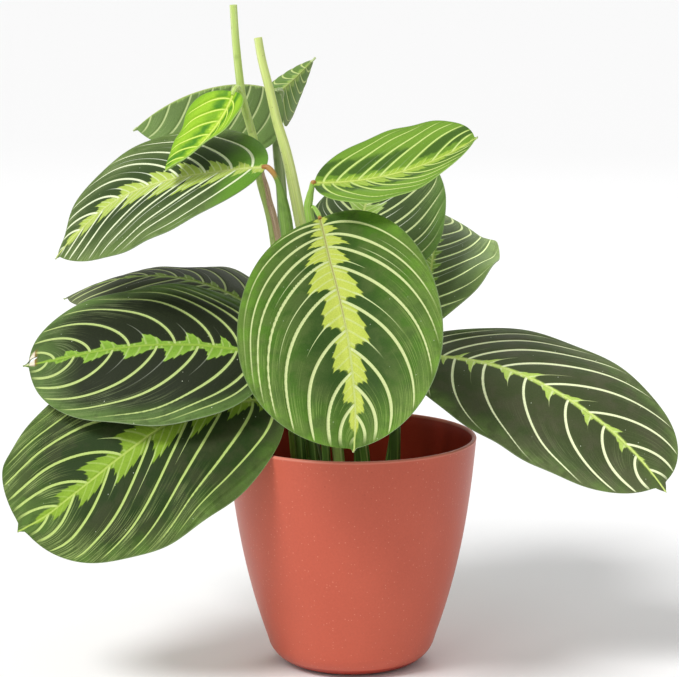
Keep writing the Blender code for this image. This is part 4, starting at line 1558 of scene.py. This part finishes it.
def pot_finish():
    """Slightly cloudy, with pale flecks, a few dark ones, painted shade inside and a
    painted highlight on the rim.
    """
    finish = Finish("flecked_plastic", roughness=0.4, specular=0.25)
    x, y, z = finish.place()
    here = finish.vector(x, y, z)
    body = finish.blend(finish.cloud(here, 14, 3).ramp(0.35, 0.65),
                        tone(190, 90, 69), tone(196, 95, 73))
    fine = finish.cloud(here, 900, 3)
    body = finish.shade(body, fine * 0.16 + 0.92)
    pale = finish.dots(here, 640, edge=(0.10, 0.26), lots=(0.72, 0.80))
    body = finish.blend(pale * 0.4, body, tone(232, 168, 140))
    # painted shade: the inside of the wall is deepened to dark red
    inner = skin_depth(x, y, z).ramp(INNER_SHADE_FROM, INNER_SHADE_TO)
    body = finish.blend(inner * 0.85, body, tone(156, 38, 18))
    # painted highlight: a pale band along the top of the rim
    body = finish.blend(z.ramp(RIM_HIGHLIGHT_FROM, RIM_HIGHLIGHT_TO) * 0.4, body, tone(236, 160, 138))
    elsewhere = finish.vector(x + 0.3, y, z)    # so that dark dots miss pale ones
    dark = finish.dots(elsewhere, 300, edge=(0.05, 0.12), lots=(0.90, 0.94))
    body = finish.blend(dark * 0.45, body, tone(120, 48, 34))
    return finish.wear(body, fine * 0.12 + 0.32, fine, depth=0.00006)


pot.data.materials.append(pot_finish())
settle(pot, "pot")
print("pot finished:", pot.data.materials[0].name)

# %% [markdown]
# ## Soil
# Potting soil is a dark crumbly bed of peat with bits of bark.  A drum that
# fills the pot is drawn in rings, its top is roughened with noise, and about a
# thousand crumbs and slivers, copied from two small shapes, lie on it.  A bumpy
# material alone would look flat where the bed meets the stems and the wall.

# %% The bed
SOIL_TOP, SOIL_GAP = 91.0, 0.35     # mm
SOIL_EDGE = 3                       # mm, how much lower the bed is at its edge
SOIL_SIDES = 120


def soil_height(x, y):
    """Height of the bed, a few mm up and down in slow waves."""
    lumps = math.sin(0.21 * x + 0.5) * math.cos(0.17 * y)
    crumbs = 0.6 * math.sin(0.47 * x - 0.39 * y + 1.1)
    return SOIL_TOP + 1.6 * (lumps + crumbs)


def soil_roughness(x, y):
    """Broad lumps and fine ones on top of those waves."""
    broad = noise.noise(Vector((x, y, 0)) * 0.35) * 1.1
    return broad + noise.noise(Vector((x, y, 5)) * 0.9) * 0.7


def soil_rings():
    inset = POT_WALL + SOIL_GAP
    shoulder = SOIL_TOP - SOIL_EDGE
    rings = [(r, z) for r, z in foot_arc(inset, 8)
             if z > POT_FLOOR + SOIL_GAP + 0.4]
    rings += [(wall_radius(z) - inset, z)
              for z in np.linspace(WALL_START + 2, shoulder, 10)]
    edge = wall_radius(shoulder) - inset
    return rings + [(edge * f, SOIL_TOP) for f in np.linspace(0.985, 0.02, 34)]


soil = draw_rings("soil_bed", soil_rings(), SOIL_SIDES)
for vertex in soil.data.vertices:
    x, y, z = vertex.co / MM
    if z > SOIL_TOP - 0.01:
        vertex.co.z = (soil_height(x, y) + soil_roughness(x, y)) * MM
print("soil faces:", len(soil.data.polygons))


# %% A crumb and a sliver of bark
def add_crumb():
    bpy.ops.mesh.primitive_ico_sphere_add(subdivisions=1, radius=1.0)


def add_sliver():
    """A flat stick with softened edges."""
    bpy.ops.mesh.primitive_cube_add(size=1.0)
    bpy.ops.transform.resize(value=(3.4, 1.1, 0.5))
    bpy.ops.object.transform_apply(scale=True)
    bpy.ops.object.mode_set(mode="EDIT")
    bpy.ops.mesh.select_all(action="SELECT")
    bpy.ops.mesh.bevel(offset=0.14, segments=1)
    bpy.ops.object.mode_set(mode="OBJECT")


def lump_shape(add_lump):
    """Corner points and faces of one small lump, a unit or so across."""
    deselect()
    add_lump()
    lump = bpy.context.object
    points = [v.co.copy() for v in lump.data.vertices]
    faces = [tuple(p.vertices) for p in lump.data.polygons]
    bpy.data.objects.remove(lump, do_unlink=True)
    return points, faces


SHAPES = {"crumb": lump_shape(add_crumb), "sliver": lump_shape(add_sliver)}
print("faces of a lump:", {kind: len(shape[1]) for kind, shape in SHAPES.items()})

# %% Scattering the lumps
SCATTER_R, SCATTER_SHARE = 57.0, 0.985      # mm, and a little less than that
LIFT = 0.35     # a lump's middle lies this share of its size above the bed


def turned_by_lot(rng):
    return Vector(rng.normal(size=3)).to_track_quat("Z", "Y")


def lying_flat(rng, heading):
    """Nearly flat, and turned round to a heading."""
    turn = Vector((rng.normal() * .3, rng.normal() * .3, 1)).to_track_quat("Z", "Y")
    return turn @ Vector((1, 0, 0)).rotation_difference(
        Vector((math.cos(heading), math.sin(heading), 0)))


def scatter(count, kind, seed, sizes):
    """Copies of one lump over the bed, each turned and sized by lot."""
    rng = np.random.default_rng(seed)
    shape, shape_faces = SHAPES[kind]
    points, faces = [], []
    for _ in range(count):
        r = SCATTER_R * math.sqrt(rng.random()) * SCATTER_SHARE
        a = rng.random() * 2 * math.pi
        x, y = r * math.cos(a), r * math.sin(a)
        turn = turned_by_lot(rng)       # drawn for each, to keep the lots in step
        if kind == "sliver":
            turn = lying_flat(rng, a * 7)
        size = sizes[0] + (sizes[1] - sizes[0]) * rng.random() ** 2
        centre = Vector((x, y, soil_height(x, y) + size * LIFT))
        start = len(points)
        for p in shape:
            q = turn @ Vector((p.x * size * (0.7 + 0.6 * rng.random()),
                               p.y * size, p.z * size))
            points.append((centre + q) * MM)
        faces += [tuple(start + i for i in f) for f in shape_faces]
    return points, faces


print("lumps lie within", round(SCATTER_R * SCATTER_SHARE, 1), "mm of the middle")

# %% Lay them on the bed
for kind, count, seed, sizes in (("crumb", 900, 4, (0.5, 1.7)),
                                 ("sliver", 170, 5, (0.7, 1.9))):
    points, faces = scatter(count, kind, seed, sizes)
    mesh = bpy.data.meshes.new(kind)
    mesh.from_pydata(points, [], faces)
    layer = bpy.data.objects.new(kind, mesh)
    bpy.context.scene.collection.objects.link(layer)
    join_into(soil, layer)
print("soil with crumbs:", len(soil.data.polygons))


# %% [markdown]
# ## The peat's colour
# Moist peat is dull and nearly black, with browner lumps and pale bits of bark.
# One brown all over would look like plastic.  Each crumb could get a material
# of its own, but noise in space does the same for all of them at once: a slow
# one mixes two browns, cells make some spots pale, a fine one roughens the skin.

# %% Peat finish
def soil_finish():
    finish = Finish("peat", roughness=0.95, specular=0.2)
    here = finish.vector(*finish.place())
    body = finish.blend(finish.cloud(here, 260, 4).ramp(0.35, 0.7),
                        tone(38, 26, 20), tone(84, 60, 44))
    far, lot = finish.cells(here, 360)
    body = finish.blend(lot.ramp(0.90, 0.93) * 0.6, body, tone(128, 98, 70))
    fine = finish.cloud(here, 1300, 3)
    body = finish.shade(body, fine * 0.8 + 0.6)
    return finish.wear(body, None, fine + far, depth=0.0006)


soil.data.materials.append(soil_finish())
bpy.ops.object.shade_flat()
settle(soil, "soil")
print("soil finished:", soil.data.materials[0].name)

# %% [markdown]
# ## The dry sheath
# Beside the left stalk stands a strip of old leaf sheath: papery, pinkish tan,
# dished along its length and frayed at the top.  It could be cloth, but it is
# stiff, so a narrow grid is bent along the stalk by a formula and then given a
# paper's thickness.

# %% Bend a grid into the sheath
SHEATH_LINE = [(-35.2, 6.3, 195), (-37.8, 8.6, 222), (-42.0, 11.8, 240),
               (-45.6, 14.1, 256)]      # mm
SHEATH_HALF, SHEATH_THICK = 1.7, 0.3    # mm


def sheath_point(line, across, s):
    """Place (mm) of a point of the strip; s runs from 0 up to 1."""
    i = min(int(s * (len(line) - 1)), len(line) - 2)
    f = s * (len(line) - 1) - i
    place = line[i] * (1 - f) + line[i + 1] * f
    half = SHEATH_HALF * (0.45 + 0.55 * math.sin(math.pi * s))
    half += 0.15 * math.sin(23 * s + across)        # an uneven edge
    dish = 0.5 * across * across - 0.2
    frayed = 1.1 * math.sin(5 * across) * s ** 8    # only near the top
    return Vector((place[0] + half * across, place[1] + dish, place[2] + frayed))


def make_sheath():
    strip = add_grid("sheath_paper", 10, 48)
    line = smooth_line(SHEATH_LINE, 12)
    for vertex in strip.data.vertices:
        across, s = vertex.co.x * 2, vertex.co.y + 0.5
        vertex.co = sheath_point(line, across, s) * MM
    skin = strip.modifiers.new("thickness", "SOLIDIFY")
    skin.thickness, skin.offset = SHEATH_THICK * MM, 0
    bpy.ops.object.modifier_apply(modifier=skin.name)
    bpy.ops.object.shade_smooth_by_angle(angle=math.radians(50))
    return strip


sheath = make_sheath()
print("sheath faces:", len(sheath.data.polygons))


# %% [markdown]
# ## The sheath's colour
# Dry tissue shows its fibres, which run along the strip, and weathers in brown
# bands across it.  Both are noise stretched on the grid's own map, one along
# and one across, so they follow the strip however it bends.

# %% Papery finish
def sheath_finish():
    finish = Finish("dry_paper", roughness=0.7, specular=0.25)
    across, along = finish.uv("sheet")
    fibres = finish.cloud(finish.vector(across * 26.0, along * 3.0), 1.0, 3.0)
    body = finish.blend(fibres.ramp(0.35, 0.65), tone(176, 138, 108), tone(234, 206, 178))
    spots = finish.cloud(finish.vector(across * 4.0, along * 22.0), 1.0, 2.0)
    body = finish.blend(spots.ramp(0.58, 0.75) * 0.6, body, tone(126, 84, 60))
    return finish.wear(body, None, fibres, depth=0.0002)


sheath.data.materials.append(sheath_finish())
settle(sheath, "dry_sheath")
print("sheath finished:", sheath.data.materials[0].name)
